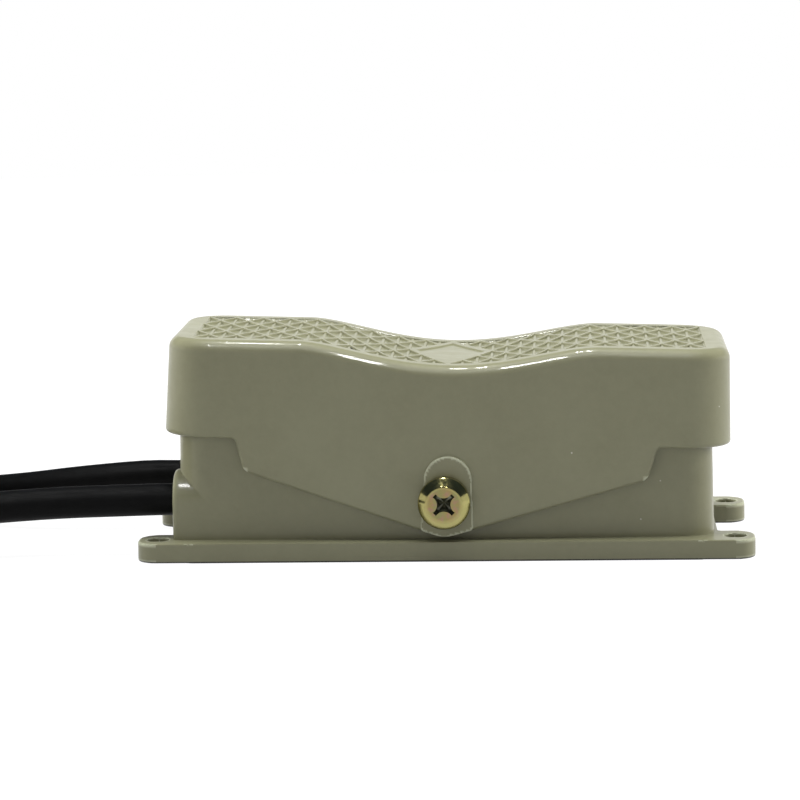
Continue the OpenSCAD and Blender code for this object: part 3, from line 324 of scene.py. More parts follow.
def slopes(field, at, reach=0.01, least=1e-9):
    """Unit normals of the surface at the given points."""
    sides = []
    for axis in range(3):
        shift = np.zeros(3)
        shift[axis] = reach
        sides.append(field(*(at + shift).T) - field(*(at - shift).T))
    n = np.stack(sides, axis=-1)
    return n / np.maximum(np.linalg.norm(n, axis=1, keepdims=True), least)


def contour(field, low, high, step):
    """The surface of a field of distances as points and four-sided faces, edges kept."""
    slab, steady = 32, 0.02
    low = np.asarray(low, float)
    count = np.ceil((np.asarray(high) - low) / step).astype(int) + 1
    axes = [low[k] + step * np.arange(count[k]) for k in range(3)]
    dist = np.empty(count, np.float32)
    for i in range(0, count[0], slab):
        dist[i:i + slab] = field(*np.meshgrid(axes[0][i:i + slab], *axes[1:], indexing="ij"))
    places, normals, rings = [], [], []
    for axis in range(3):
        cell, at, solid_first = crossings(dist, field, low, step, axis)
        u, v = (axis + 1) % 3, (axis + 2) % 3
        ring = []
        for du, dv in ((1, 1), (0, 1), (0, 0), (1, 0)):
            corner = cell.copy()
            corner[:, u] -= du
            corner[:, v] -= dv
            ring.append(np.ravel_multi_index(corner.T, count))
        ring = np.stack(ring, axis=1)
        ring[~solid_first] = ring[~solid_first, ::-1]
        places.append(at)
        normals.append(slopes(field, at))
        rings.append(ring)
    places, normals, rings = map(np.concatenate, (places, normals, rings))
    cells, slot = np.unique(rings, return_inverse=True)
    slot = slot.reshape(rings.shape)
    owners = slot.ravel()
    n, p = np.repeat(normals, 4, axis=0), np.repeat(places, 4, axis=0)

    def total(values):
        return np.bincount(owners, weights=values, minlength=len(cells))

    share = total(np.ones(len(owners)))
    middle = np.stack([total(p[:, k]) for k in range(3)], axis=1) / share[:, None]
    reach = np.einsum("ij,ij->i", n, p - middle[owners])
    square = np.empty((len(cells), 3, 3))
    for i in range(3):
        for j in range(3):
            square[:, i, j] = total(n[:, i] * n[:, j])
    pull = np.stack([total(n[:, k] * reach) for k in range(3)], axis=1)
    square += steady * np.eye(3)
    point = middle + np.linalg.solve(square, pull[:, :, None])[:, :, 0]
    floor = low + step * np.stack(np.unravel_index(cells, count), axis=1)
    return np.clip(point, floor, floor + step), slot


def piece_mesh(name, points, faces):
    """A mesh in metres from points in millimetres and four-sided faces."""
    mesh = bpy.data.meshes.new(name)
    mesh.vertices.add(len(points))
    mesh.vertices.foreach_set("co", (np.asarray(points) * MM).ravel())
    mesh.loops.add(4 * len(faces))
    mesh.loops.foreach_set("vertex_index", np.asarray(faces).ravel())
    mesh.polygons.add(len(faces))
    mesh.polygons.foreach_set("loop_start", np.arange(0, 4 * len(faces), 4))
    mesh.update(calc_edges=True)
    mesh.validate()
    return mesh


def link(obj):
    """Puts an object in the scene."""
    bpy.context.scene.collection.objects.link(obj)
    return obj


def built(name, bm):
    """An object in the scene from a built mesh."""
    mesh = bpy.data.meshes.new(name)
    bm.to_mesh(mesh)
    bm.free()
    return link(bpy.data.objects.new(name, mesh))


def flat_faces_merged(mesh, degrees, tile=6):
    """Merges faces that lie in one plane: first inside small blocks, then over the whole."""
    middles = np.empty(3 * len(mesh.polygons), np.float32)
    mesh.polygons.foreach_get("center", middles)
    block = np.floor(middles.reshape(-1, 3) / (tile * MM)).astype(np.int32)
    mesh.polygons.foreach_set("material_index", block.sum(axis=1) % 2)
    bm = bmesh.new()
    bm.from_mesh(mesh)
    for kept in ({"MATERIAL"}, set()):
        bmesh.ops.dissolve_limit(bm, angle_limit=math.radians(degrees), verts=bm.verts,
                                 edges=bm.edges, delimit=kept)
    for face in bm.faces:
        face.material_index = 0
    bm.to_mesh(mesh)
    bm.free()


def shaded(obj, sharp=32):
    """Smooth shading that keeps edges sharper than the angle, in degrees."""
    bm = bmesh.new()
    bm.from_mesh(obj.data)
    limit = math.radians(sharp)
    for face in bm.faces:
        face.smooth = True
    for edge in bm.edges:
        edge.smooth = len(edge.link_faces) == 2 and edge.calc_face_angle(0) < limit
    bm.to_mesh(obj.data)
    bm.free()
    weighted = obj.modifiers.new("Even shading", "WEIGHTED_NORMAL")
    weighted.keep_sharp = True
    return obj


def mark_edges(mesh, field):
    """Marks the small faces on sharply rounded outer edges, as the attribute "edge": the mask of
    painted highlights, partly thin enamel, along those edges.
    """
    at, areas = np.empty(3 * len(mesh.vertices)), np.empty(len(mesh.polygons))
    corners, sides = np.empty(len(mesh.loops), int), np.empty(len(mesh.polygons), int)
    mesh.vertices.foreach_get("co", at)
    mesh.loops.foreach_get("vertex_index", corners)
    mesh.polygons.foreach_get("loop_total", sides)
    mesh.polygons.foreach_get("area", areas)
    at = at.reshape(-1, 3) / MM
    reach, soft, sharp, small = 0.12, 1.1, 1.6, 3 * MM ** 2
    bend = -6 * field(*at.T)
    for axis in range(3):
        shift = np.zeros(3)
        shift[axis] = reach
        bend = bend + field(*(at + shift).T) + field(*(at - shift).T)
    # mask of painted highlights, partly thin enamel, on sharply rounded edges
    wear_and_highlight = np.clip((bend / reach ** 2 - soft) / (sharp - soft), 0, 1)[corners]
    wear_and_highlight = wear_and_highlight * np.repeat(areas < small, sides)
    mesh.attributes.new("edge", "FLOAT", "CORNER").data.foreach_set(
        "value", wear_and_highlight.astype(np.float32))


def applied(obj):
    """Gives an object the mesh that its modifiers make."""
    graph = bpy.context.evaluated_depsgraph_get()
    mesh = bpy.data.meshes.new_from_object(obj.evaluated_get(graph))
    obj.modifiers.clear()
    obj.data = mesh
    return obj


def cut_away(obj, cutter):
    """Cuts one closed piece out of another."""
    modifier = obj.modifiers.new("Cut", "BOOLEAN")
    modifier.operation = "DIFFERENCE"
    modifier.solver = "MANIFOLD"
    modifier.object = cutter
    bpy.context.view_layer.update()
    applied(obj)
    bpy.data.objects.remove(cutter)
    return obj


# Materials


def shader(name, rough, metal=0.0, coat=0.0):
    """A material whose plain values are set on the shader's own sockets."""
    material = bpy.data.materials.new(name)
    material.use_nodes = True
    principled = material.node_tree.nodes["Principled BSDF"]
    principled.inputs["Roughness"].default_value = rough
    principled.inputs["Metallic"].default_value = metal
    principled.inputs["Coat Weight"].default_value = coat
    return material, principled


def add(material, kind, **values):
    """A node with its inputs and settings."""
    node = material.node_tree.nodes.new(kind)
    for key, value in values.items():
        socket = node.inputs.get(key.replace("_", " "))
        if socket is None:
            setattr(node, key, value)
        else:
            socket.default_value = value
    return node


def wire(material, source, target):
    """Links two sockets."""
    material.node_tree.links.new(source, target)


def grain(material, size, detail=3.0, roughness=0.55, stretch=(1, 1, 1)):
    """Noise whose grain is about size millimetres, fixed to the piece."""
    place = add(material, "ShaderNodeTexCoord")
    scale = add(material, "ShaderNodeMapping", Scale=[1 / (size * MM * s) for s in stretch])
    noise = add(material, "ShaderNodeTexNoise", Scale=1.0, Detail=detail, Roughness=roughness)
    wire(material, place.outputs["Object"], scale.inputs["Vector"])
    wire(material, scale.outputs["Vector"], noise.inputs["Vector"])
    return noise.outputs["Fac"]


def spread(material, value, low, high, from_low=0.35, from_high=0.65):
    """A value mapped to a range."""
    node = add(material, "ShaderNodeMapRange")
    for key, number in zip(("From Min", "From Max", "To Min", "To Max"),
                           (from_low, from_high, low, high)):
        node.inputs[key].default_value = number
    wire(material, value, node.inputs["Value"])
    return node.outputs["Result"]


def mixed(material, fac, a, b):
    """A mix of two colours or colour sockets."""
    node = add(material, "ShaderNodeMix", data_type="RGBA")
    wire(material, fac, node.inputs[0])
    for socket, value in ((node.inputs[6], a), (node.inputs[7], b)):
        if isinstance(value, bpy.types.NodeSocket):
            wire(material, value, socket)
        else:
            socket.default_value = (*value, 1.0)
    return node.outputs[2]


def bumped(material, principled, heights):
    """Bump from several (socket, depth in millimetres) pairs."""
    before = None
    for value, depth in heights:
        bump = add(material, "ShaderNodeBump", Strength=1.0, Distance=depth * MM)
        wire(material, value, bump.inputs["Height"])
        if before is not None:
            wire(material, before, bump.inputs["Normal"])
        before = bump.outputs["Normal"]
    wire(material, before, principled.inputs["Normal"])


def specks(material, size, share):
    """Sparse round specks of about size millimetres, one where white."""
    place = add(material, "ShaderNodeTexCoord")
    cells = add(material, "ShaderNodeTexVoronoi", Scale=1 / (size * 6 * MM))
    wire(material, place.outputs["Object"], cells.inputs["Vector"])
    keep = add(material, "ShaderNodeMath", operation="LESS_THAN")
    keep.inputs[1].default_value = share
    pick = add(material, "ShaderNodeSeparateColor")
    wire(material, cells.outputs["Color"], pick.inputs["Color"])
    wire(material, pick.outputs["Red"], keep.inputs[0])
    dot = spread(material, cells.outputs["Distance"], 1.0, 0.0, 0.05, 0.12)
    both_of = add(material, "ShaderNodeMath", operation="MULTIPLY")
    wire(material, dot, both_of.inputs[0])
    wire(material, keep.outputs["Value"], both_of.inputs[1])
    return both_of.outputs["Value"]


def enamel(name, colours, polish, sole=False):
    """Gloss enamel on a casting: clouded colour, orange peel, dust nibs and pits; with sole, a
    painted contact shadow along the bottom.
    """
    material, principled = shader(name, 0.4, coat=0.3)
    principled.inputs["Specular IOR Level"].default_value = 0.22
    principled.inputs["Coat Roughness"].default_value = polish
    cloud = spread(material, grain(material, 22, 5.0, 0.65), 0.0, 1.0, 0.3, 0.7)
    tint = mixed(material, cloud, colours.enamel, colours.enamel_light)
    mottle = spread(material, grain(material, 3, 4.0, 0.7), 0.0, 0.22)
    dusty = tuple(min(1.0, 1.15 * c) for c in colours.enamel_light)
    tint = mixed(material, mottle, tint, dusty)
    # painted highlight, partly thin enamel: a much lighter enamel where the "edge" mask marks
    # sharply rounded edges
    edge = add(material, "ShaderNodeAttribute", attribute_name="edge")
    thin = spread(material, edge.outputs["Fac"], 0.0, 0.75, 0.0, 1.0)
    tint = mixed(material, thin, tint, colours.enamel_edge)
    nib = specks(material, 0.5, 0.012)
    tint = mixed(material, nib, tint, (0.5, 0.49, 0.42))
    pit = specks(material, 0.7, 0.008)
    tint = mixed(material, pit, tint, (0.03, 0.028, 0.02))
    # painted shadow: below 0.35 mm height the enamel turns near black, fading out by 0.6 mm, in
    # place of the contact shadow under the flange
    if sole:
        place = add(material, "ShaderNodeTexCoord")
        height = add(material, "ShaderNodeSeparateXYZ")
        wire(material, place.outputs["Object"], height.inputs["Vector"])
        contact_shadow = spread(material, height.outputs["Z"], 1.0, 0.0, 0.35 * MM, 0.6 * MM)
        tint = mixed(material, contact_shadow, tint, (0.012, 0.012, 0.01))
    wire(material, tint, principled.inputs["Base Color"])
    sheen = spread(material, grain(material, 14, 4.0, 0.6), 0.34, 0.46)
    wire(material, sheen, principled.inputs["Roughness"])
    bumped(material, principled, [(grain(material, 2.2, 2.0, 0.5), 0.02),
                                  (grain(material, 9, 2.0, 0.5), 0.05),
                                  (nib, 0.04), (pit, -0.06)])
    return material


def rubber(name, tint, rough, lines=(1, 1, 1)):
    """Rubber with a fine extruded skin and a little dust."""
    material, principled = shader(name, rough)
    principled.inputs["Specular IOR Level"].default_value = 0.06
    dusty = tuple(min(1.0, 1.6 * c + 0.002) for c in tint)
    dust = spread(material, grain(material, 3, 6.0, 0.7), 0.0, 0.4, 0.45, 0.75)
    wire(material, mixed(material, dust, tint, dusty), principled.inputs["Base Color"])
    polish = spread(material, grain(material, 1.2, 4.0, 0.6, lines), rough - 0.06, rough + 0.1)
    wire(material, polish, principled.inputs["Roughness"])
    bumped(material, principled, [(grain(material, 0.35, 3.0, 0.6, lines), 0.02),
                                  (grain(material, 5, 2.0, 0.5, lines), 0.05)])
    return material


def plated(name, tint, rough, second=None):
    """Plated or bare metal with fine scratches and stains."""
    material, principled = shader(name, rough, metal=1.0)
    other = second or tuple(0.8 * c for c in tint)
    stain = spread(material, grain(material, 2.4, 5.0, 0.6), 0.0, 1.0)
    wire(material, mixed(material, stain, tint, other), principled.inputs["Base Color"])
    wear_and_highlight = spread(material, grain(material, 0.9, 5.0, 0.7, (1, 4, 1)), rough - 0.08, rough + 0.1)
    wire(material, wear_and_highlight, principled.inputs["Roughness"])
    bumped(material, principled, [(grain(material, 0.25, 3.0, 0.6, (1, 5, 1)), 0.008)])
    return material


def moulded(name, tint, rough):
    """Moulded plastic with a faint texture."""
    material, principled = shader(name, rough)
    other = tuple(min(1.0, 1.25 * c + 0.005) for c in tint)
    cloud = spread(material, grain(material, 4, 4.0, 0.6), 0.0, 1.0)
    wire(material, mixed(material, cloud, tint, other), principled.inputs["Base Color"])
    wire(material, spread(material, grain(material, 1.5, 3.0), rough - 0.07, rough + 0.07),
         principled.inputs["Roughness"])
    bumped(material, principled, [(grain(material, 0.3, 3.0, 0.6), 0.012)])
    return material


def yellow_zinc(name, colours):
    """Yellow passivated zinc whose tint drifts from gold to green and pink."""
    material, principled = shader(name, 0.24, metal=1.0)
    drift = spread(material, grain(material, 5.5, 3.0, 0.55), 0.0, 1.0, 0.42, 0.6)
    tint = mixed(material, drift, colours.zinc_gold, colours.zinc_green)
    blush = spread(material, grain(material, 2.2, 5.0, 0.6), 0.0, 0.85, 0.52, 0.66)
    tint = mixed(material, blush, tint, colours.zinc_pink)
    dull = spread(material, grain(material, 0.7, 4.0, 0.7), 0.0, 0.5, 0.5, 0.75)
    tint = mixed(material, dull, tint, (0.20, 0.19, 0.13))
    place = add(material, "ShaderNodeTexCoord")
    flat = add(material, "ShaderNodeMapping", Location=(0, 0, -PIVOT_Z * MM), Scale=(1, 0, 1))
    wire(material, place.outputs["Object"], flat.inputs["Vector"])
    away = add(material, "ShaderNodeVectorMath", operation="LENGTH")
    wire(material, flat.outputs["Vector"], away.inputs[0])
    ring = spread(material, away.outputs["Value"], 0.0, 0.75, 4.6 * MM, 6.2 * MM)
    tint = mixed(material, ring, tint, colours.zinc_rim)
    wire(material, tint, principled.inputs["Base Color"])
    wear_and_highlight = spread(material, grain(material, 1.1, 5.0, 0.7), 0.09, 0.2)
    wire(material, wear_and_highlight, principled.inputs["Roughness"])
    bumped(material, principled, [(grain(material, 0.9, 3.0, 0.5), 0.006)])
    return material


def finish(name):
    """The material of that name, made once."""
    colours = bpy.context.scene.footswitch.finish
    look = name + "_finish"
    made = bpy.data.materials.get(look)
    if made is not None:
        return made
    makers = {
        "housing_enamel": lambda: enamel(look, colours, 0.14, sole=True),
        "treadle_enamel": lambda: enamel(look, colours, 0.05),
        "cable_rubber": lambda: rubber(look, colours.rubber, 0.5, (8, 1, 1)),
        "nitrile": lambda: rubber(look, colours.nitrile, 0.55),
        "cork_gasket": lambda: rubber(look, (0.20, 0.16, 0.12), 0.8),
        "yellow_zinc": lambda: yellow_zinc(look, colours),
        "recess_zinc": lambda: plated(look, colours.recess, 0.4),
        "plated_steel": lambda: plated(look, colours.steel, 0.3),
        "spring_steel": lambda: plated(look, (0.42, 0.42, 0.44), 0.32),
        "sintered_bronze": lambda: plated(look, colours.bronze, 0.45),
        "brass": lambda: plated(look, colours.brass, 0.28),
        "phenolic": lambda: moulded(look, (0.08, 0.04, 0.025), 0.4),
        "red_plastic": lambda: moulded(look, (0.5, 0.05, 0.03), 0.35),
        "nylon": lambda: moulded(look, (0.022, 0.022, 0.024), 0.4),
        "brown_pvc": lambda: moulded(look, (0.16, 0.07, 0.03), 0.42),
        "blue_pvc": lambda: moulded(look, (0.03, 0.08, 0.32), 0.42),
        "green_pvc": lambda: moulded(look, (0.10, 0.32, 0.05), 0.42),
    }
    return makers[name]()


# Cast pieces


def housing_field(h):
    """Distances to the cast housing, with its rounds, fillets and hollow."""
    half_x, half_y, top = h.wall_len / 2, h.wall_depth / 2, h.height
    inner_x, inner_y = half_x - h.wall_t, half_y - h.wall_t
    mid_z = (top + h.flange_t) / 2
    ear_y = (h.base_depth - h.ear_w) / 2
    cable_y, cable_z, cable_bore, cable_bore_x = half_y - h.entry_r, 17.2, 5.3, 76
    seal_r, seal_x = 6.3, 77.2
    guide_x, guide_low, guide_r, guide_hole = 50, 34, 8, 5
    socket_z, socket_r = top - 4, 7.5
    pivot_r, pivot_in, thread_r, thread_in = 9, 22, 4, 9
    post_places, post_y, post_r, post_low, bore_r, bore_top = (26, 44), 11.65, 4, 28, 2, 36
    plate_x, plate_y, plate_r, plate_t, plate_gap, plate_top = 75, 25, 4.5, 2.5, 0.2, 10
    clamp_x, clamp_y, clamp_low, clamp_bore_low, clamp_bore_top = 70.5, 14, 12.2, 11, 20.2
    rail_half, rail_low, earth_x, plate_bore, bore_under = 3, 22.2, 60, 1.5, 1
    stop_x, stop_r, stop_deep, fixing_round = 70, 2.5, 2.5, 0.5
    flush, fade = 0.6, 4

    def posts_at(ax, y, r):
        return either(*(rod(ax - post_x, y - post_y, r) for post_x in post_places))

    def shape(x, y, z):
        ay, lean = np.abs(y), (z - mid_z) * math.tan(h.draft)
        walls = plate(x, y, half_x, half_y, h.corner_r) + lean
        block = meet(walls, z - top, h.deck_round)
        across = rod(ay - cable_y, np.maximum(z - cable_z, 0), h.entry_r) + lean
        boss = both(meet(across, -x - h.entry_x, h.entry_round), x + inner_x - h.corner_r)
        # fillets fade out where two faces lie flush, so that none of them swells there
        blend = h.foot_fillet * np.clip((half_y - flush - ay) / fade, 0, 1)
        inner = h.ear_fillet * np.clip((h.base_depth / 2 - h.ear_w / 2 - ay) / fade, 0, 1)
        base = join(plate(x, y, h.flange_mid / 2, h.base_depth / 2, h.ear_r),
                    plate(x, ay - ear_y, h.base_len / 2, h.ear_w / 2, h.ear_r), inner)
        base = meet(base, z - h.flange_t, h.flange_round)
        solid = join(join(block, boss, blend), base, h.foot_fillet)
        return meet(solid, -z, h.sole_round)

    def hollow(x, y, z):
        ax, ay = np.abs(x), np.abs(y)
        room = both(plate(x, y, inner_x, inner_y, h.corner_r - h.wall_t), z - top + h.deck_t)
        posts = either(
            both(rod(ax - guide_x, y, guide_r), guide_low - z),
            both(rod(ax - guide_x, y, socket_r + h.wall_t), socket_z - h.deck_t - z),
            both(rod(x, z - PIVOT_Z, pivot_r), pivot_in - ay),
            both(posts_at(ax, y, post_r), post_low - z),
            both(rod(np.maximum(plate_x - ax, 0), np.maximum(plate_y - ay, 0), plate_r),
                 plate_t - z, z - plate_top),
            both(rod(x + clamp_x, ay - clamp_y, post_r), clamp_low - z),
            both(np.abs(x + clamp_x) - rail_half, clamp_y - ay, rail_low - z),
            both(rod(x + earth_x, y, post_r), post_low - z))
        return both(room, -posts)

    def holes(x, y, z):
        ax, ay = np.abs(x), np.abs(y)
        bore_low = post_low - bore_under
        return either(
            both(plate(x, y, half_x + plate_gap, half_y + plate_gap, h.corner_r + plate_gap),
                 z - plate_t),
            both(rod(x, z - PIVOT_Z, thread_r), half_y - thread_in - ay),
            both(rod(ax - guide_x, y, guide_hole), guide_low - bore_under - z),
            both(rod(ax - guide_x, y, socket_r), socket_z - z),
            both(posts_at(ax, y, bore_r), bore_low - z, z - bore_top),
            both(rod(ax - plate_x, ay - plate_y, plate_bore), z - plate_top + bore_under),
            both(rod(x + clamp_x, ay - clamp_y, bore_r), clamp_bore_low - z,
                 z - clamp_bore_top),
            both(rod(x + earth_x, y, bore_r), bore_low - z, z - bore_top),
            both(rod(ay - cable_y, z - cable_z, cable_bore), x + cable_bore_x),
            both(rod(ay - cable_y, z - cable_z, seal_r), x + seal_x, -x - ENTRY_X + SEAL_IN),
            both(rod(ax - stop_x, y, stop_r), top - stop_deep - z))

    def field(x, y, z):
        solid = both(shape(x, y, z), -hollow(x, y, z), -holes(x, y, z))
        fixing = rod(np.abs(x) - h.hole_x, np.abs(y) - h.hole_y, h.hole_d / 2)
        return meet(solid, -fixing, fixing_round)

    return field


def top_z(t, x):
    """Height of the treadle's top along its length."""
    steepness = 1.7
    inside = np.clip(1 - (x / t.dip_half) ** 2, 0, 1)
    return t.top - t.dip * inside ** steepness


def treadle_field(t):
    """Distances to the cast treadle, drawn level, without its tread."""
    lean_rate, lobe, lobe_share, step_run = math.tan(t.draft), t.lobe_r, 1.1, 3
    side_z = t.skirt_z - lobe / lobe_share
    side_x = t.step_x - step_run
    arm = math.hypot(side_x, side_z - t.pivot_z)
    turn = math.atan2(side_z - t.pivot_z, side_x) - math.acos(lobe / arm)
    skirt_in, inner_r = 33.6, t.corner_r - 0.6 * t.skirt_t - t.skirt_t
    stud_x, rib_x, boss_low, rib_low = 50, 70, 59, 54.81
    stud_boss, rib_half, stud_bore, stud_deep = 7, 7.5, 2, 4.67
    step_round, roof_steepness, inner_round, inner_rim = 1.2, 1.02, 2, 0.35
    pad_lean, pad_fillet = 0.055, 0.3

    def outline(x, z):
        # the skirt's lower edge runs from the pivot lobe to a slanting step, then level
        ax = np.abs(x)
        foot_x, foot_z = lobe * math.cos(turn), t.pivot_z + lobe * math.sin(turn)
        run, climb = side_x - foot_x, side_z - foot_z
        far = math.hypot(run, climb)
        beside = ((ax - foot_x) * climb - (z - foot_z) * run) / far
        along = ((ax - foot_x) * run + (z - foot_z) * climb) / far
        under = np.where(along > 0, beside, rod(x, z - t.pivot_z, lobe))
        slant = (t.step_x - side_x) / math.hypot(t.step_x - side_x, t.skirt_z - side_z)
        step = (ax - side_x) * math.sqrt(1 - slant ** 2) - (z - side_z) * slant
        wedge = either(meet(under, step, step_round), rod(x, z - t.pivot_z, lobe))
        return join(wedge, t.skirt_z - z, step_round)

    def field(x, y, z):
        ax, ay = np.abs(x), np.abs(y)
        lean = (z - t.skirt_z) * lean_rate
        roof = (z - top_z(t, x)) / roof_steepness
        outer = meet(plate(x, y, t.length / 2, t.depth / 2, t.corner_r) + lean, roof, t.edge_r)
        profile = outline(x, z)
        skin = meet(outer, profile, t.rim_round)
        hollow = meet(plate(x, y, t.length / 2 - t.skirt_t, t.depth / 2 - t.skirt_t, inner_r)
                      + lean, roof + t.roof_t, inner_round)
        shell = meet(skin, -hollow, inner_rim)
        aside, rise = np.abs(x - t.pad_x), z - t.pad_z
        pad = either(rod(x - t.pad_x, rise, t.pad_w / 2),
                     both(aside - t.pad_w / 2 + rise * pad_lean, rise))
        pad = both(meet(meet(pad, profile, t.rim_round), ay - t.pad_y, t.pad_round),
                   skirt_in - ay)
        boss = both(rod(x, z - t.pivot_z, lobe - 1), skirt_in - ay, ay - t.depth / 2)
        inside = either(both(rod(ax - stud_x, y, stud_boss), boss_low - z, roof + t.roof_t / 2),
                        both(np.abs(ax - rib_x) - t.skirt_t / 2, ay - rib_half, rib_low - z,
                             roof + t.roof_t / 2))
        solid = either(join(shell, pad, pad_fillet), boss, inside)
        bush = rod(x, z - t.pivot_z, t.bush_d / 2)
        stud = both(rod(ax - stud_x, y, stud_bore), boss_low - 1 - z, z - boss_low - stud_deep)
        return both(solid, -bush, -stud)

    return field


def clipped(polygon, half_x, half_y):
    """The part of a convex outline inside a rectangle about the middle."""
    for axis, limit, sign in ((0, half_x, 1), (0, half_x, -1), (1, half_y, 1), (1, half_y, -1)):
        kept = []
        for a, b in zip(polygon, polygon[1:] + polygon[:1]):
            in_a, in_b = sign * a[axis] <= limit, sign * b[axis] <= limit
            if in_a:
                kept.append(a)
            if in_a != in_b:
                share = (sign * limit - a[axis]) / (b[axis] - a[axis])
                kept.append((a[0] + share * (b[0] - a[0]), a[1] + share * (b[1] - a[1])))
        polygon = kept
        if len(polygon) < 3:
            return []
    return polygon


def area(polygon):
    """Signed area of an outline."""
    return sum(a[0] * b[1] - b[0] * a[1]
               for a, b in zip(polygon, polygon[1:] + polygon[:1])) / 2


def drawn_in(polygon, inset):
    """A convex outline, anticlockwise, with each side moved inwards."""
    out = []
    n = len(polygon)
    for i in range(n):
        a, b, c = (Vector(polygon[k % n]) for k in (i - 1, i, i + 1))
        d, e = (b - a).normalized(), (c - b).normalized()
        left, right = Vector((-d.y, d.x)), Vector((-e.y, e.x))
        corner = (left + right) / (1 + left.dot(right))
        out.append(tuple(b + corner * inset))
    return out


def holds(polygon, inset):
    """Whether a convex outline is wide enough to be drawn in by the inset."""
    inner = drawn_in(polygon, inset)
    sides = zip(polygon, polygon[1:] + polygon[:1], inner, inner[1:] + inner[:1])
    kept = [(Vector(b) - Vector(a)).dot(Vector(d) - Vector(c)) > 0 for a, b, c, d in sides]
    return sum(kept) > len(kept) / 2


def tread_lozenges(t, p):
    """Outline of each lozenge between the slanting ribs, and of the two halves of its floor."""
    slant = math.hypot(p.pitch, p.lozenge / 2)
    rise = p.rib_w / 2 * slant / p.pitch
    run = p.pitch * (1 - 2 * rise / p.lozenge)
    tip = p.lozenge / 2 - rise
    half = tip - p.spine_w / 2 * p.lozenge / 2 / p.pitch
    half_x, half_y = t.length / 2 - p.margin, t.depth / 2 - p.margin
    columns, rows = math.ceil(half_x / p.pitch), math.ceil(2 * half_y / p.lozenge)
    plain, least, spare = 3, 1.2, 1.2
    for i in range(-columns, columns + 1):
        for j in range(-rows, rows + 1):
            if (i + j) % 2 or abs(i) + abs(j) < plain:
                continue
            x, y = i * p.pitch, j * p.lozenge / 2
            whole = [(x - run, y), (x, y - tip), (x + run, y), (x, y + tip)]
            halves = [[(x + side * p.spine_w / 2, y - side * half), (x + side * run, y),
                       (x + side * p.spine_w / 2, y + side * half)] for side in (-1, 1)]
            whole = clipped(whole, half_x, half_y)
            halves = [clipped(shape, half_x, half_y) for shape in halves]
            if len(whole) > 2 and area(whole) > least and holds(whole, p.slope / 2):
                yield whole, [shape for shape in halves if len(shape) > 2
                              and area(shape) > least and holds(shape, spare * p.slope)]


def plain_lozenge(p):
    """Outline of the smooth lozenge in the middle, with points along its sides."""
    share, cells, parts = 0.82, 3, 12
    tip_x, tip_y = cells * p.pitch * share, cells * p.lozenge / 2 * share
    corners = [(-tip_x, 0), (0, -tip_y), (tip_x, 0), (0, tip_y)]
    return [tuple(Vector(a).lerp(Vector(b), k / parts))
            for a, b in zip(corners, corners[1:] + corners[:1]) for k in range(parts)]


def pocket(bm, t, shape, levels, strips=False):
    """One cutter, as rings of (height below the treadle's top, inset of the outline)."""
    rings = []
    for height, inset in levels:
        ring = drawn_in(shape, inset)
        rings.append([bm.verts.new((x * MM, y * MM, (float(top_z(t, x)) + height) * MM))
                      for x, y in ring])
    n = len(shape)
    for lower, upper in zip(rings, rings[1:]):
        for k in range(n):
            m = (k + 1) % n
            bm.faces.new((lower[k], lower[m], upper[m], upper[k]))
    for ring, flip in ((rings[0], True), (rings[-1], False)):
        faces = [ring]
        if strips:
            faces = [[ring[k - 1], ring[k], ring[n - k], ring[(n - k + 1) % n]]
                     for k in range(1, n // 2)]
            faces.append([ring[n // 2 - 1], ring[n // 2], ring[n // 2 + 1]])
        for face in faces:
            face = list(dict.fromkeys(face))
            bm.faces.new(face[::-1] if flip else face)


def tread_cutters(t, p):
    """Cutters of the whole lozenges, then of the deeper halves beside each thin spine."""
    c, shallow, over, clear = p.chamfer, p.spine_d, 0.03, 1.2
    upper = [(-shallow, c), (-c, 0), (over, -c), (clear, -c)]
    lower = [(-p.pocket_d, p.slope), (-p.pocket_d + c, p.slope / 2), (-shallow, c), (clear, c)]
    smooth = [(-p.plain_d, p.slope), (-p.plain_d + c, p.slope / 2), (-c, 0), (over, -c),
              (clear, -c)]
    meshes = [bmesh.new(), bmesh.new()]
    for whole, halves in tread_lozenges(t, p):
        pocket(meshes[0], t, whole, upper)
        for shape in halves:
            pocket(meshes[1], t, shape, lower)
    pocket(meshes[0], t, plain_lozenge(p), smooth, strips=True)
    for bm in meshes:
        bmesh.ops.triangulate(bm, faces=bm.faces)
        yield built("tread_cutter", bm)


def contour_step():
    return 0.5


# Screws


def lathe(bm, profile, turns=96):
    """Turns a profile of (radius, height) points round Z."""
    rings = []
    for r, h in profile:
        if r == 0:
            rings.append([bm.verts.new((0, 0, h))])
        else:
            rings.append([bm.verts.new((r * math.cos(a), r * math.sin(a), h))
                          for a in (2 * math.pi * k / turns for k in range(turns))])
    for low, high in zip(rings, rings[1:]):
        for k in range(turns):
            m = (k + 1) % turns
            face = [low[k % len(low)], low[m % len(low)], high[m % len(high)],
                    high[k % len(high)]]
            bm.faces.new(list(dict.fromkeys(face)))


def arc(centre, r, start, end, steps):
    """Points of an arc, angles in degrees."""
    return [(centre[0] + r * math.cos(math.radians(a)), centre[1] + r * math.sin(math.radians(a)))
            for a in (start + (end - start) * k / steps for k in range(steps + 1))]


def recess_outline(s, scale):
    """The cross recess: four blunt tips on the diagonals, hollow flanks between them."""
    tip, blunt, waist = s.recess_tip, 0.65, s.recess_tip / 2
    at = tip / math.sqrt(2)
    edge = (at - blunt / math.sqrt(2), at + blunt / math.sqrt(2))
    centre = (edge[0] ** 2 + edge[1] ** 2 - waist ** 2) / (2 * (edge[1] - waist))
    flank_r = centre - waist
    half = math.degrees(math.asin(edge[0] / flank_r))
    points = []
    for quarter in range(4):
        turn = Matrix.Rotation(-math.pi / 2 * quarter, 2)
        flank = arc((0, centre), flank_r, 270 - half, 270 + half, 8)
        points += [turn @ Vector(p) for p in flank]
    return [p * scale for p in points[::-1]]


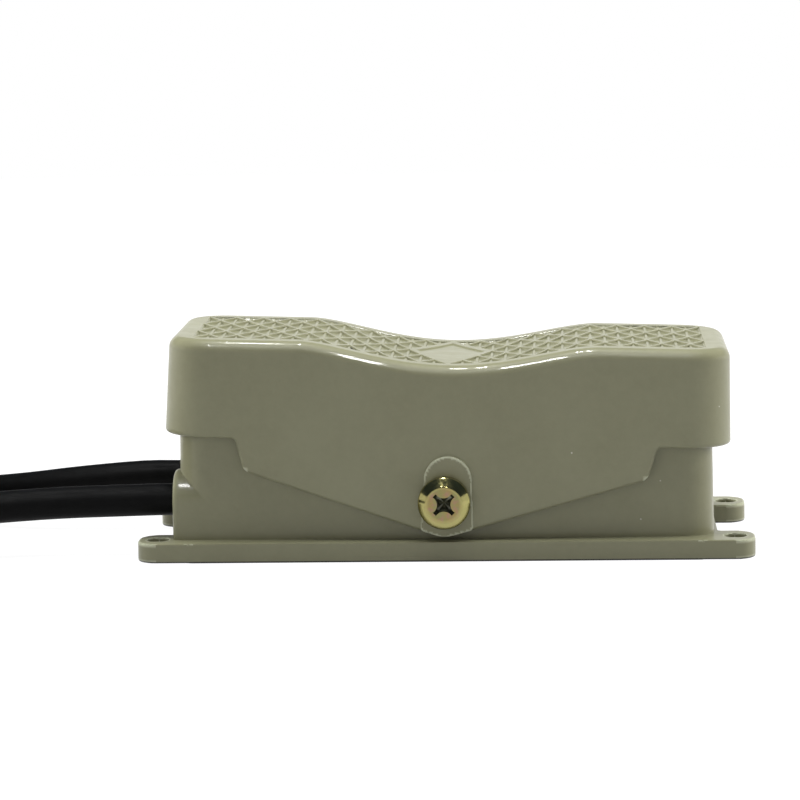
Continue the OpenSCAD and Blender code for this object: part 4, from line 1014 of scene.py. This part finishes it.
def pivot_screw(side, s):
    """One pivot screw with its rounded head and cross recess."""
    name = "pivot_screw_front_piece" if side < 0 else "pivot_screw_rear_piece"
    r, h, wall = s.head_d / 2, s.head_h, 32.5
    seat = s.head_y - wall
    face_r, side_h, swell = 0.70 * r, 0.6 * h, 0.9
    rim = [(face_r + (r - face_r) * k, side_h + (h - side_h) * (1 - k) ** swell)
           for k in (1, 0.97, 0.9, 0.8, 0.65, 0.5, 0.35, 0.2, 0.1, 0.04, 0)]
    pitch, turns, groove, lead_in, soft, land = 1.25, 6, 0.75, 0.8, 0.35, 0.2
    thread = [(s.thread_d / 2 - (groove if k % 2 else 0), -s.thread_in + lead_in + k * pitch / 2)
              for k in range(2 * turns)]
    profile = [(0, -s.thread_in), (s.thread_d / 2 - lead_in, -s.thread_in), *thread,
               (s.thread_d / 2 - lead_in / 2, 0), (s.shoulder_d / 2, 0.05),
               (s.shoulder_d / 2, seat), (r - soft, seat),
               *arc((r - soft, seat + soft), soft, 270, 360, 4),
               (r, seat + side_h - land), *[(a, seat + b) for a, b in rim],
               (face_r - 0.5, seat + h + 0.04), (0, seat + h + 0.06)]
    bm = bmesh.new()
    lathe(bm, profile)
    bmesh.ops.recalc_face_normals(bm, faces=bm.faces)
    screw = built(name, bm)
    bm = bmesh.new()
    deep, tip_r = s.recess_depth, 1.1 * s.recess_tip
    levels = [(seat + h + 0.5, 1.06), (seat + h + 0.07, 1.05), (seat + h - 0.12, 1.0),
              (seat + h - 0.75 * deep, 0.74)]
    rings = [[bm.verts.new((p.x, p.y, z)) for p in recess_outline(s, k)] for z, k in levels]
    n = len(rings[0])
    for upper, lower in zip(rings, rings[1:]):
        for k in range(n):
            m = (k + 1) % n
            bm.faces.new((upper[k], lower[k], lower[m], upper[m]))
    tip = bm.verts.new((0, 0, seat + h - deep))
    for k in range(n):
        bm.faces.new((rings[-1][k], tip, rings[-1][(k + 1) % n]))
    bm.faces.new(rings[0])
    bmesh.ops.recalc_face_normals(bm, faces=bm.faces)
    bmesh.ops.triangulate(bm, faces=bm.faces)
    cut_away(screw, built("recess_cutter", bm))
    flat_faces_merged(screw.data, 0.02)
    screw.data.materials.clear()
    screw.data.materials.append(finish("yellow_zinc"))
    screw.data.materials.append(finish("recess_zinc"))
    for face in screw.data.polygons:
        x, y, z = face.center
        face.material_index = int(seat < z < seat + h - 0.2 and math.hypot(x, y) < tip_r)
    facing = Matrix.Rotation(math.radians(90 if side < 0 else -90), 4, "X")
    place = Matrix.Translation((0, side * wall * MM, PIVOT_Z * MM))
    screw.data.transform(place @ facing @ Matrix.Scale(MM, 4))
    return shaded(screw, 38)


# Cables

FRONT_RUN = [(0.018, 0, 0), (0.008, 0, 0), (-0.002, 0, 0), (-0.015, 0, -0.0003),
             (-0.035, 0, -0.0009), (-0.053, -0.0024, -0.0016), (-0.070, -0.0094, -0.0017),
             (-0.084, -0.020, -0.0012), (-0.098, -0.0307, -0.0007),
             (-0.115, -0.0378, -0.0005), (-0.133, -0.040, -0.0005)]
REAR_RUN = [(0.018, 0, 0), (0.008, 0, 0), (-0.002, 0, 0), (-0.015, 0, 0),
            (-0.035, 0, -0.0016), (-0.053, 0.0024, -0.0039), (-0.070, 0.0094, -0.0063),
            (-0.084, 0.020, -0.0086), (-0.098, 0.0307, -0.0102), (-0.115, 0.0378, -0.011),
            (-0.133, 0.040, -0.011)]
FRONT_LEADS = [(-0.054, -0.020), (-0.038, -0.015), (-0.020, -0.014), (-0.008, -0.0105),
               (-0.005, -0.004)]
REAR_LEADS = [(-0.054, 0.020), (-0.038, 0.017), (-0.010, 0.016), (0.001, 0.011),
              (0.004, 0.0035)]
COIL_RINGS, COIL_TURNS = 24, 2.24


def through(points, steps):
    """A smooth line through given points."""
    points = [Vector(p) for p in points]
    line = []
    for i in range(len(points) - 1):
        a, b = points[max(i - 1, 0)], points[i]
        c, d = points[i + 1], points[min(i + 2, len(points) - 1)]
        for s in range(steps):
            t = s / steps
            line.append(0.5 * (2 * b + (c - a) * t + (2 * a - 5 * b + 4 * c - d) * t ** 2
                               + (3 * b - a - 3 * c + d) * t ** 3))
    return line + [points[-1]]


def cable_line(side, run, c):
    """The whole centreline of one cable in metres, and where it leaves the housing."""
    leave = Vector((-ENTRY_X, side * c.side, c.height)) * MM
    low = (c.diameter / 2 + 1.2 + (c.coil_step if side < 0 else 0)) * MM
    middle = leave.x + run[-1][0]
    coil = []
    for k in range(round(COIL_TURNS * COIL_RINGS) + 1):
        r = (c.coil_r - c.coil_step * k / COIL_RINGS) * MM
        a = side * (math.pi / 2 + 2 * math.pi * k / COIL_RINGS)
        coil.append(Vector((middle + r * math.cos(a), r * math.sin(a), low)))
    last = len(run) - 1
    miss = coil[0] - leave - Vector(run[last])
    placed = [leave + Vector(p) + miss * max(0, k - 2) / (last - 2) for k, p in enumerate(run)]
    return through(placed, 3) + coil[1:], leave


def round_bar(name, lines, diameter, materials):
    """One curve object with a round section, one spline for each line."""
    curve = bpy.data.curves.new(name, "CURVE")
    curve.dimensions = "3D"
    curve.bevel_depth = diameter / 2 * MM
    curve.bevel_resolution = 10
    curve.use_fill_caps = True
    for number, line in enumerate(lines):
        spline = curve.splines.new("POLY")
        spline.points.add(len(line) - 1)
        for point, place in zip(spline.points, line):
            point.co = (*place, 1.0)
        spline.use_smooth = True
        spline.material_index = number % len(materials)
    for material in materials:
        curve.materials.append(finish(material))
    return link(bpy.data.objects.new(name, curve))


def core_lines(line, side, c):
    """The three bared cores at a cable's far end."""
    way = (line[-1] - line[-2]).normalized()
    across = Vector((0, 0, 1)).cross(way).normalized()
    bent = Matrix.Rotation(side * math.radians(30), 3, "Z") @ way
    reach = 1.5 * c.core_d * MM
    lines = []
    for k in range(3):
        a = 2 * math.pi * k / 3
        root = line[-1] + 0.7 * c.core_d * MM * (math.cos(a) * across
                                                 + math.sin(a) * Vector((0, 0, 1)))
        knee = root + way * reach
        tip = knee + bent * (c.core_len * MM - reach)
        lines.append(through([root - way * reach, root, knee, knee.lerp(tip, 0.5), tip], 4))
    return lines


def lead_lines(side, via, blades_x, c):
    """The three leads from a cable's inner end to the switch and the earth tag."""
    start = Vector((-ENTRY_X + 18, side * c.side, c.height)) * MM
    d, blade_low, blade_rise, earth_z = c.lead_d, 7.5, 10, 27.6
    lines = []
    for k in (0, 1):
        z = (blade_low + k * blade_rise) * MM
        lift = Vector((0, 0, (k - 0.5) * 1.6 * d * MM))
        lines.append(through([start + lift, start + lift + Vector((2 * d * MM, 0, 0)),
                              *[(x, y, z) for x, y in via],
                              ((blades_x - side * 1.5 * d) * MM, 0, z), (blades_x * MM, 0, z)], 4))
    tag_x, tag_y = -60, 8
    lines.append(through([
        start + Vector((0, -side * 1.4 * d, 0)) * MM,
        start + Vector((2 * d, -side * 1.8 * d, 0)) * MM,
        Vector((tag_x, side * (tag_y + 2.8 * d), earth_z - 1.5 * d)) * MM,
        Vector((tag_x, side * (tag_y + 1.5 * d), earth_z)) * MM,
        Vector((tag_x, side * tag_y, earth_z)) * MM], 5))
    return lines


# Operators


def sizes(context, name):
    """One settings group, lengths in millimetres."""
    return Millimetres(getattr(context.scene.footswitch, name))


class FOOTSWITCH_OT_housing(bpy.types.Operator):
    """Builds the cast housing with its flange, ears and cable entries"""
    bl_idname = "footswitch.housing"
    bl_label = "Housing"

    def execute(self, context):
        h = sizes(context, "housing")
        room = 2
        field = housing_field(h)
        points, faces = contour(field,
                                (-h.base_len / 2 - room, -h.base_depth / 2 - room, -room),
                                (h.base_len / 2 + room, h.base_depth / 2 + room, h.height + room),
                                contour_step())
        mesh = piece_mesh("housing_casting", points, faces)
        flat_faces_merged(mesh, 0.15)
        mark_edges(mesh, field)
        piece = link(bpy.data.objects.new("housing_casting", mesh))
        mesh.materials.append(finish("housing_enamel"))
        shaded(piece)
        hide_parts("housing")
        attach(piece, "base")
        return {"FINISHED"}


class FOOTSWITCH_OT_treadle(bpy.types.Operator):
    """Builds the cast treadle and cuts its tread"""
    bl_idname = "footswitch.treadle"
    bl_label = "Treadle"

    def execute(self, context):
        t, p = sizes(context, "treadle"), sizes(context, "tread")
        room = 2
        field, half = treadle_field(t), t.length / 2
        points, faces = contour(field, (-half - room, -t.pad_y - room,
                                        t.pivot_z - t.lobe_r - room),
                                (half + room, t.pad_y + room, t.top + room), contour_step())
        mesh = piece_mesh("treadle_casting", points, faces)
        flat_faces_merged(mesh, 0.1)
        piece = link(bpy.data.objects.new("treadle_casting", mesh))
        for cutter in list(tread_cutters(t, p)):
            cut_away(piece, cutter)
        flat_faces_merged(piece.data, 0.1)
        mark_edges(piece.data, field)
        pivot = Matrix.Translation((0, 0, t.pivot_z * MM))
        piece.data.transform(pivot @ Matrix.Rotation(t.tilt, 4, "Y") @ pivot.inverted())
        piece.data.materials.clear()
        piece.data.materials.append(finish("treadle_enamel"))
        shaded(piece)
        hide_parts("treadle")
        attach(piece, "treadle")
        return {"FINISHED"}


class FOOTSWITCH_OT_pivot_screws(bpy.types.Operator):
    """Builds the two pivot screws"""
    bl_idname = "footswitch.pivot_screws"
    bl_label = "Pivot screws"

    def execute(self, context):
        s = sizes(context, "screw")
        for side, node in ((-1, "pivot_screw_front"), (1, "pivot_screw_rear")):
            piece = pivot_screw(side, s)
            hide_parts(node)
            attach(piece, "base")
        return {"FINISHED"}


class FOOTSWITCH_OT_cables(bpy.types.Operator):
    """Lays the two cables, their coils and their bared cores"""
    bl_idname = "footswitch.cables"
    bl_label = "Cables"

    def execute(self, context):
        c = sizes(context, "cable")
        cores = ["brown_pvc", "blue_pvc", "green_pvc"]
        for side, end, run in ((-1, "front", FRONT_RUN), (1, "rear", REAR_RUN)):
            line, leave = cable_line(side, run, c)
            cable = round_bar("cable_" + end + "_sheath", [line], c.diameter, ["cable_rubber"])
            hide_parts("cable_" + end, "coil_" + end)
            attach(cable, "base")
            bare = round_bar("bared_cores_" + end, core_lines(line, side, c), c.core_d, cores)
            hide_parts("core_ends_" + end)
            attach(bare, "base")
            total = sum((b - a).length for a, b in zip(line, line[1:]))
            tuple(leave)
            c.diameter * MM
        return {"FINISHED"}


class FOOTSWITCH_OT_leads(bpy.types.Operator):
    """Lays the leads inside the housing"""
    bl_idname = "footswitch.leads"
    bl_label = "Inner leads"

    def execute(self, context):
        c = sizes(context, "cable")
        for side, end, via in ((-1, "front", FRONT_LEADS), (1, "rear", REAR_LEADS)):
            lines = lead_lines(side, via, side * 12, c)
            leads = round_bar("inner_leads_" + end, lines, c.lead_d,
                              ["brown_pvc", "blue_pvc", "green_pvc"])
            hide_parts("leads_" + end)
            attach(leads, "base")
        return {"FINISHED"}


class FOOTSWITCH_OT_fittings(bpy.types.Operator):
    """Gives the small fittings of the packed model their finishes"""
    bl_idname = "footswitch.fittings"
    bl_label = "Fittings"

    finishes = {
        "plated_steel": ["bottom_plate", "plate_screws", "contact_studs", "pivot_washers",
                         "rod_left", "rod_right", "rod_clip_left", "rod_clip_right",
                         "spring_seats", "bracket_left", "bracket_right", "bracket_screws",
                         "switch_screws", "switch_nuts", "lever_left", "lever_right",
                         "cable_clamps", "clamp_screws", "ferrules_front", "ferrules_rear"],
        "spring_steel": ["return_spring_left", "return_spring_right"],
        "sintered_bronze": ["pivot_bushes", "guide_bushes"],
        "brass": ["switch_blades", "earth_tag"],
        "yellow_zinc": ["earth_screw"],
        "nitrile": ["rod_seals", "stop_buffers", "cable_seal_front", "cable_seal_rear"],
        "cork_gasket": ["plate_gasket"],
        "phenolic": ["switch_case_left", "switch_case_right"],
        "red_plastic": ["button_left", "button_right"],
        "nylon": ["coil_ties"],
    }

    def execute(self, context):
        for name, nodes in self.finishes.items():
            for node in nodes:
                obj = NODES[node]
                obj.data.materials.clear()
                obj.data.materials.append(finish(name))
                softened = obj.modifiers.new("Soft edges", "BEVEL")
                softened.width = 0.12 * MM
                softened.segments = 2
                softened.angle_limit = math.radians(40)
                softened.harden_normals = True
        return {"FINISHED"}


WHITE = (1, 1, 1, 1)
# height of the floor in millimetres, half sides and the camera's reach in metres
FLOOR_Z, FLOOR_HALF, CEILING_HALF, CLIP_END = -0.05, 1.6, 8, 20


def camera_axes(st):
    """The photograph's camera: its place, and its right, up and backward directions."""
    back = Vector((-math.sin(st.yaw) * math.cos(st.pitch), -math.cos(st.yaw) * math.cos(st.pitch),
                   math.sin(st.pitch)))
    right = Vector((math.cos(st.yaw), -math.sin(st.yaw), 0))
    up = right.cross(-back)
    turned_right = math.cos(st.roll) * right + math.sin(st.roll) * up
    turned_up = -math.sin(st.roll) * right + math.cos(st.roll) * up
    # the base's middle stands at this pixel of the 800 pixel frame
    pixel, frame_px, sensor = (449.376, 538.032), 800, 36
    focal = st.lens / sensor * frame_px
    ahead = (-back * focal - turned_right * (pixel[0] - frame_px / 2)
             + turned_up * (pixel[1] - frame_px / 2)).normalized()
    right = (turned_right - ahead * turned_right.dot(ahead)).normalized()
    return back * st.distance * MM, right, right.cross(ahead), -ahead


def lamp(name, place, aim, wide, high, power, tint=WHITE[:3]):
    """A flat lamp that faces a point."""
    data = bpy.data.lights.new(name, "AREA")
    data.shape = "RECTANGLE"
    data.size, data.size_y = wide, high
    data.energy = power
    data.color = tint
    obj = link(bpy.data.objects.new(name, data))
    obj.location = place
    obj.rotation_euler = (Vector(aim) - Vector(place)).to_track_quat("-Z", "Y").to_euler()
    return obj


def seen(owner):
    """One where a ray comes from the camera, a mirror or glass."""
    path = add(owner, "ShaderNodeLightPath")
    total = path.outputs["Is Camera Ray"]
    for name in ("Is Glossy Ray", "Is Transmission Ray"):
        node = add(owner, "ShaderNodeMath", operation="MAXIMUM")
        wire(owner, total, node.inputs[0])
        wire(owner, path.outputs[name], node.inputs[1])
        total = node.outputs[0]
    return total


def sheet(name, z, half, material):
    """A large flat square, its height in millimetres and its half side in metres."""
    mesh = bpy.data.meshes.new(name)
    mesh.from_pydata([(-half, -half, 0), (half, -half, 0), (half, half, 0), (-half, half, 0)],
                     [], [(0, 1, 2, 3)])
    mesh.materials.append(material)
    obj = link(bpy.data.objects.new(name, mesh))
    obj.location.z = z * MM
    return obj


def grey(value):
    """A grey of that level."""
    return (value, value, value, 1)


def floor_paper():
    """White paper: plain for the lamps' light, and white to the eye but for soft shadows."""
    paper_level, glow_level, veil_level = 0.42, 0.94, 0.12
    material = bpy.data.materials.new("floor_paper")
    material.use_nodes = True
    material.node_tree.nodes.clear()
    out = add(material, "ShaderNodeOutputMaterial")
    mix = add(material, "ShaderNodeMixShader")
    total = add(material, "ShaderNodeAddShader")
    paper = add(material, "ShaderNodeBsdfDiffuse", Color=grey(paper_level))
    veil = add(material, "ShaderNodeBsdfDiffuse", Color=grey(veil_level))
    glow = add(material, "ShaderNodeEmission", Strength=glow_level)
    for source, target in (
            (glow.outputs[0], total.inputs[0]), (veil.outputs[0], total.inputs[1]),
            (seen(material), mix.inputs[0]), (paper.outputs[0], mix.inputs[1]),
            (total.outputs[0], mix.inputs[2]), (mix.outputs[0], out.inputs[0])):
        wire(material, source, target)
    return material


# place, width and height in metres, power setting and tint of each soft lamp
SOFT_LAMPS = [("overhead_lamp", (0, 0.1, 1.6), 1.5, 1.1, "key", (0.97, 1, 1)),
              ("fill_lamp", (-0.9, -1.5, 0.7), 0.9, 0.7, "fill", (1, 1, 1)),
              ("side_lamp", (-1.3, 0.35, 0.45), 0.7, 0.7, "side", (1, 1, 1)),
              ("side_lamp", (1.3, 0.35, 0.45), 0.7, 0.7, "side", (1, 1, 1))]
# height of the ceiling lamps, then place along and across, width and depth of each, in metres
LAMP_Z = 1.5
CEILING_LAMPS = [(-0.143, 0.15, 0.040, 0.25), (-0.243, -0.80, 0.076, 0.45),
                 (0.250, -1.0, 0.050, 0.80), (-0.048, 0.15, 0.070, 0.25)]


class FOOTSWITCH_OT_stage(bpy.types.Operator):
    """Sets up the camera, the lamps, the floor and the backdrop"""
    bl_idname = "footswitch.stage"
    bl_label = "Stage"

    def execute(self, context):
        scene, st = context.scene, sizes(context, "stage")
        scene.view_settings.view_transform = "Standard"
        place, right, up, back = camera_axes(st)
        data = bpy.data.cameras.new("camera")
        data.lens, data.sensor_width = st.lens, 36
        data.clip_end = CLIP_END
        camera = link(bpy.data.objects.new("camera", data))
        turn = Matrix((right, up, back)).transposed().to_4x4()
        camera.matrix_world = Matrix.Translation(place) @ turn
        scene.camera = camera

        world = bpy.data.worlds.new("backdrop")
        world.use_nodes = True
        world.node_tree.nodes.clear()
        out = add(world, "ShaderNodeOutputWorld")
        mix = add(world, "ShaderNodeMixShader")
        soft, bright = (add(world, "ShaderNodeBackground", Color=WHITE, Strength=strength)
                        for strength in (st.ambient, st.mirror))
        for source, target in (
                (seen(world), mix.inputs[0]), (soft.outputs[0], mix.inputs[1]),
                (bright.outputs[0], mix.inputs[2]), (mix.outputs[0], out.inputs[0])):
            wire(world, source, target)
        scene.world = world

        sheet("floor", FLOOR_Z, FLOOR_HALF, floor_paper())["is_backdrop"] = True
        dark = shader("ceiling_paint", 0.9)[0]
        dark.node_tree.nodes["Principled BSDF"].inputs["Base Color"].default_value = (
            0.07, 0.10, 0.16, 1)
        ceiling = sheet("ceiling", st.ceiling_z, CEILING_HALF, dark)
        ceiling.visible_diffuse = False
        ceiling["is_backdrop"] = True

        aim = (0, 0, 0.04)
        for name, place, wide, high, power, tint in SOFT_LAMPS:
            soft_lamp = lamp(name, place, aim, wide, high, getattr(st, power), tint)
            soft_lamp.visible_glossy = False
        for x, y, wide, deep in CEILING_LAMPS:
            small = lamp("ceiling_lamp", (x, y, LAMP_Z), (x, y, 0), wide, deep,
                         st.glint * math.pi * wide * deep)
            small.visible_diffuse = False
        return {"FINISHED"}


class FOOTSWITCH_PT_panel(bpy.types.Panel):
    """Lists the pieces of the foot switch"""
    bl_idname = "FOOTSWITCH_PT_panel"
    bl_label = "Foot Switch"
    bl_space_type = "VIEW_3D"
    bl_region_type = "UI"
    bl_category = "Foot Switch"

    def draw(self, context):
        for operator in OPERATORS:
            self.layout.operator(operator.bl_idname)
        for name, group in SETTINGS.items():
            box = self.layout.box()
            box.label(text=group.__doc__)
            for field in group.__annotations__:
                box.prop(getattr(context.scene.footswitch, name), field)


OPERATORS = [FOOTSWITCH_OT_stage, FOOTSWITCH_OT_cables, FOOTSWITCH_OT_housing,
             FOOTSWITCH_OT_treadle, FOOTSWITCH_OT_pivot_screws, FOOTSWITCH_OT_leads,
             FOOTSWITCH_OT_fittings]
CLASSES = [*SETTINGS.values(), FootswitchSettings, *OPERATORS, FOOTSWITCH_PT_panel]


def register():
    """Registers the settings, the operators and the panel."""
    for item in CLASSES:
        bpy.utils.register_class(item)
    bpy.types.Scene.footswitch = PointerProperty(type=FootswitchSettings)


def unregister():
    """Takes them away again."""
    del bpy.types.Scene.footswitch
    for item in reversed(CLASSES):
        bpy.utils.unregister_class(item)


def main():
    """Builds every piece, then works out the two boxes."""
    register()
    for operator in OPERATORS:
        group, name = operator.bl_idname.split(".")
        getattr(getattr(bpy.ops, group), name)()
    boxes = {"cad": cad_box, "visual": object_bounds()}
    {name: [list(corner) for corner in box] for name, box in boxes.items()}


if __name__ == "__main__":
    main()
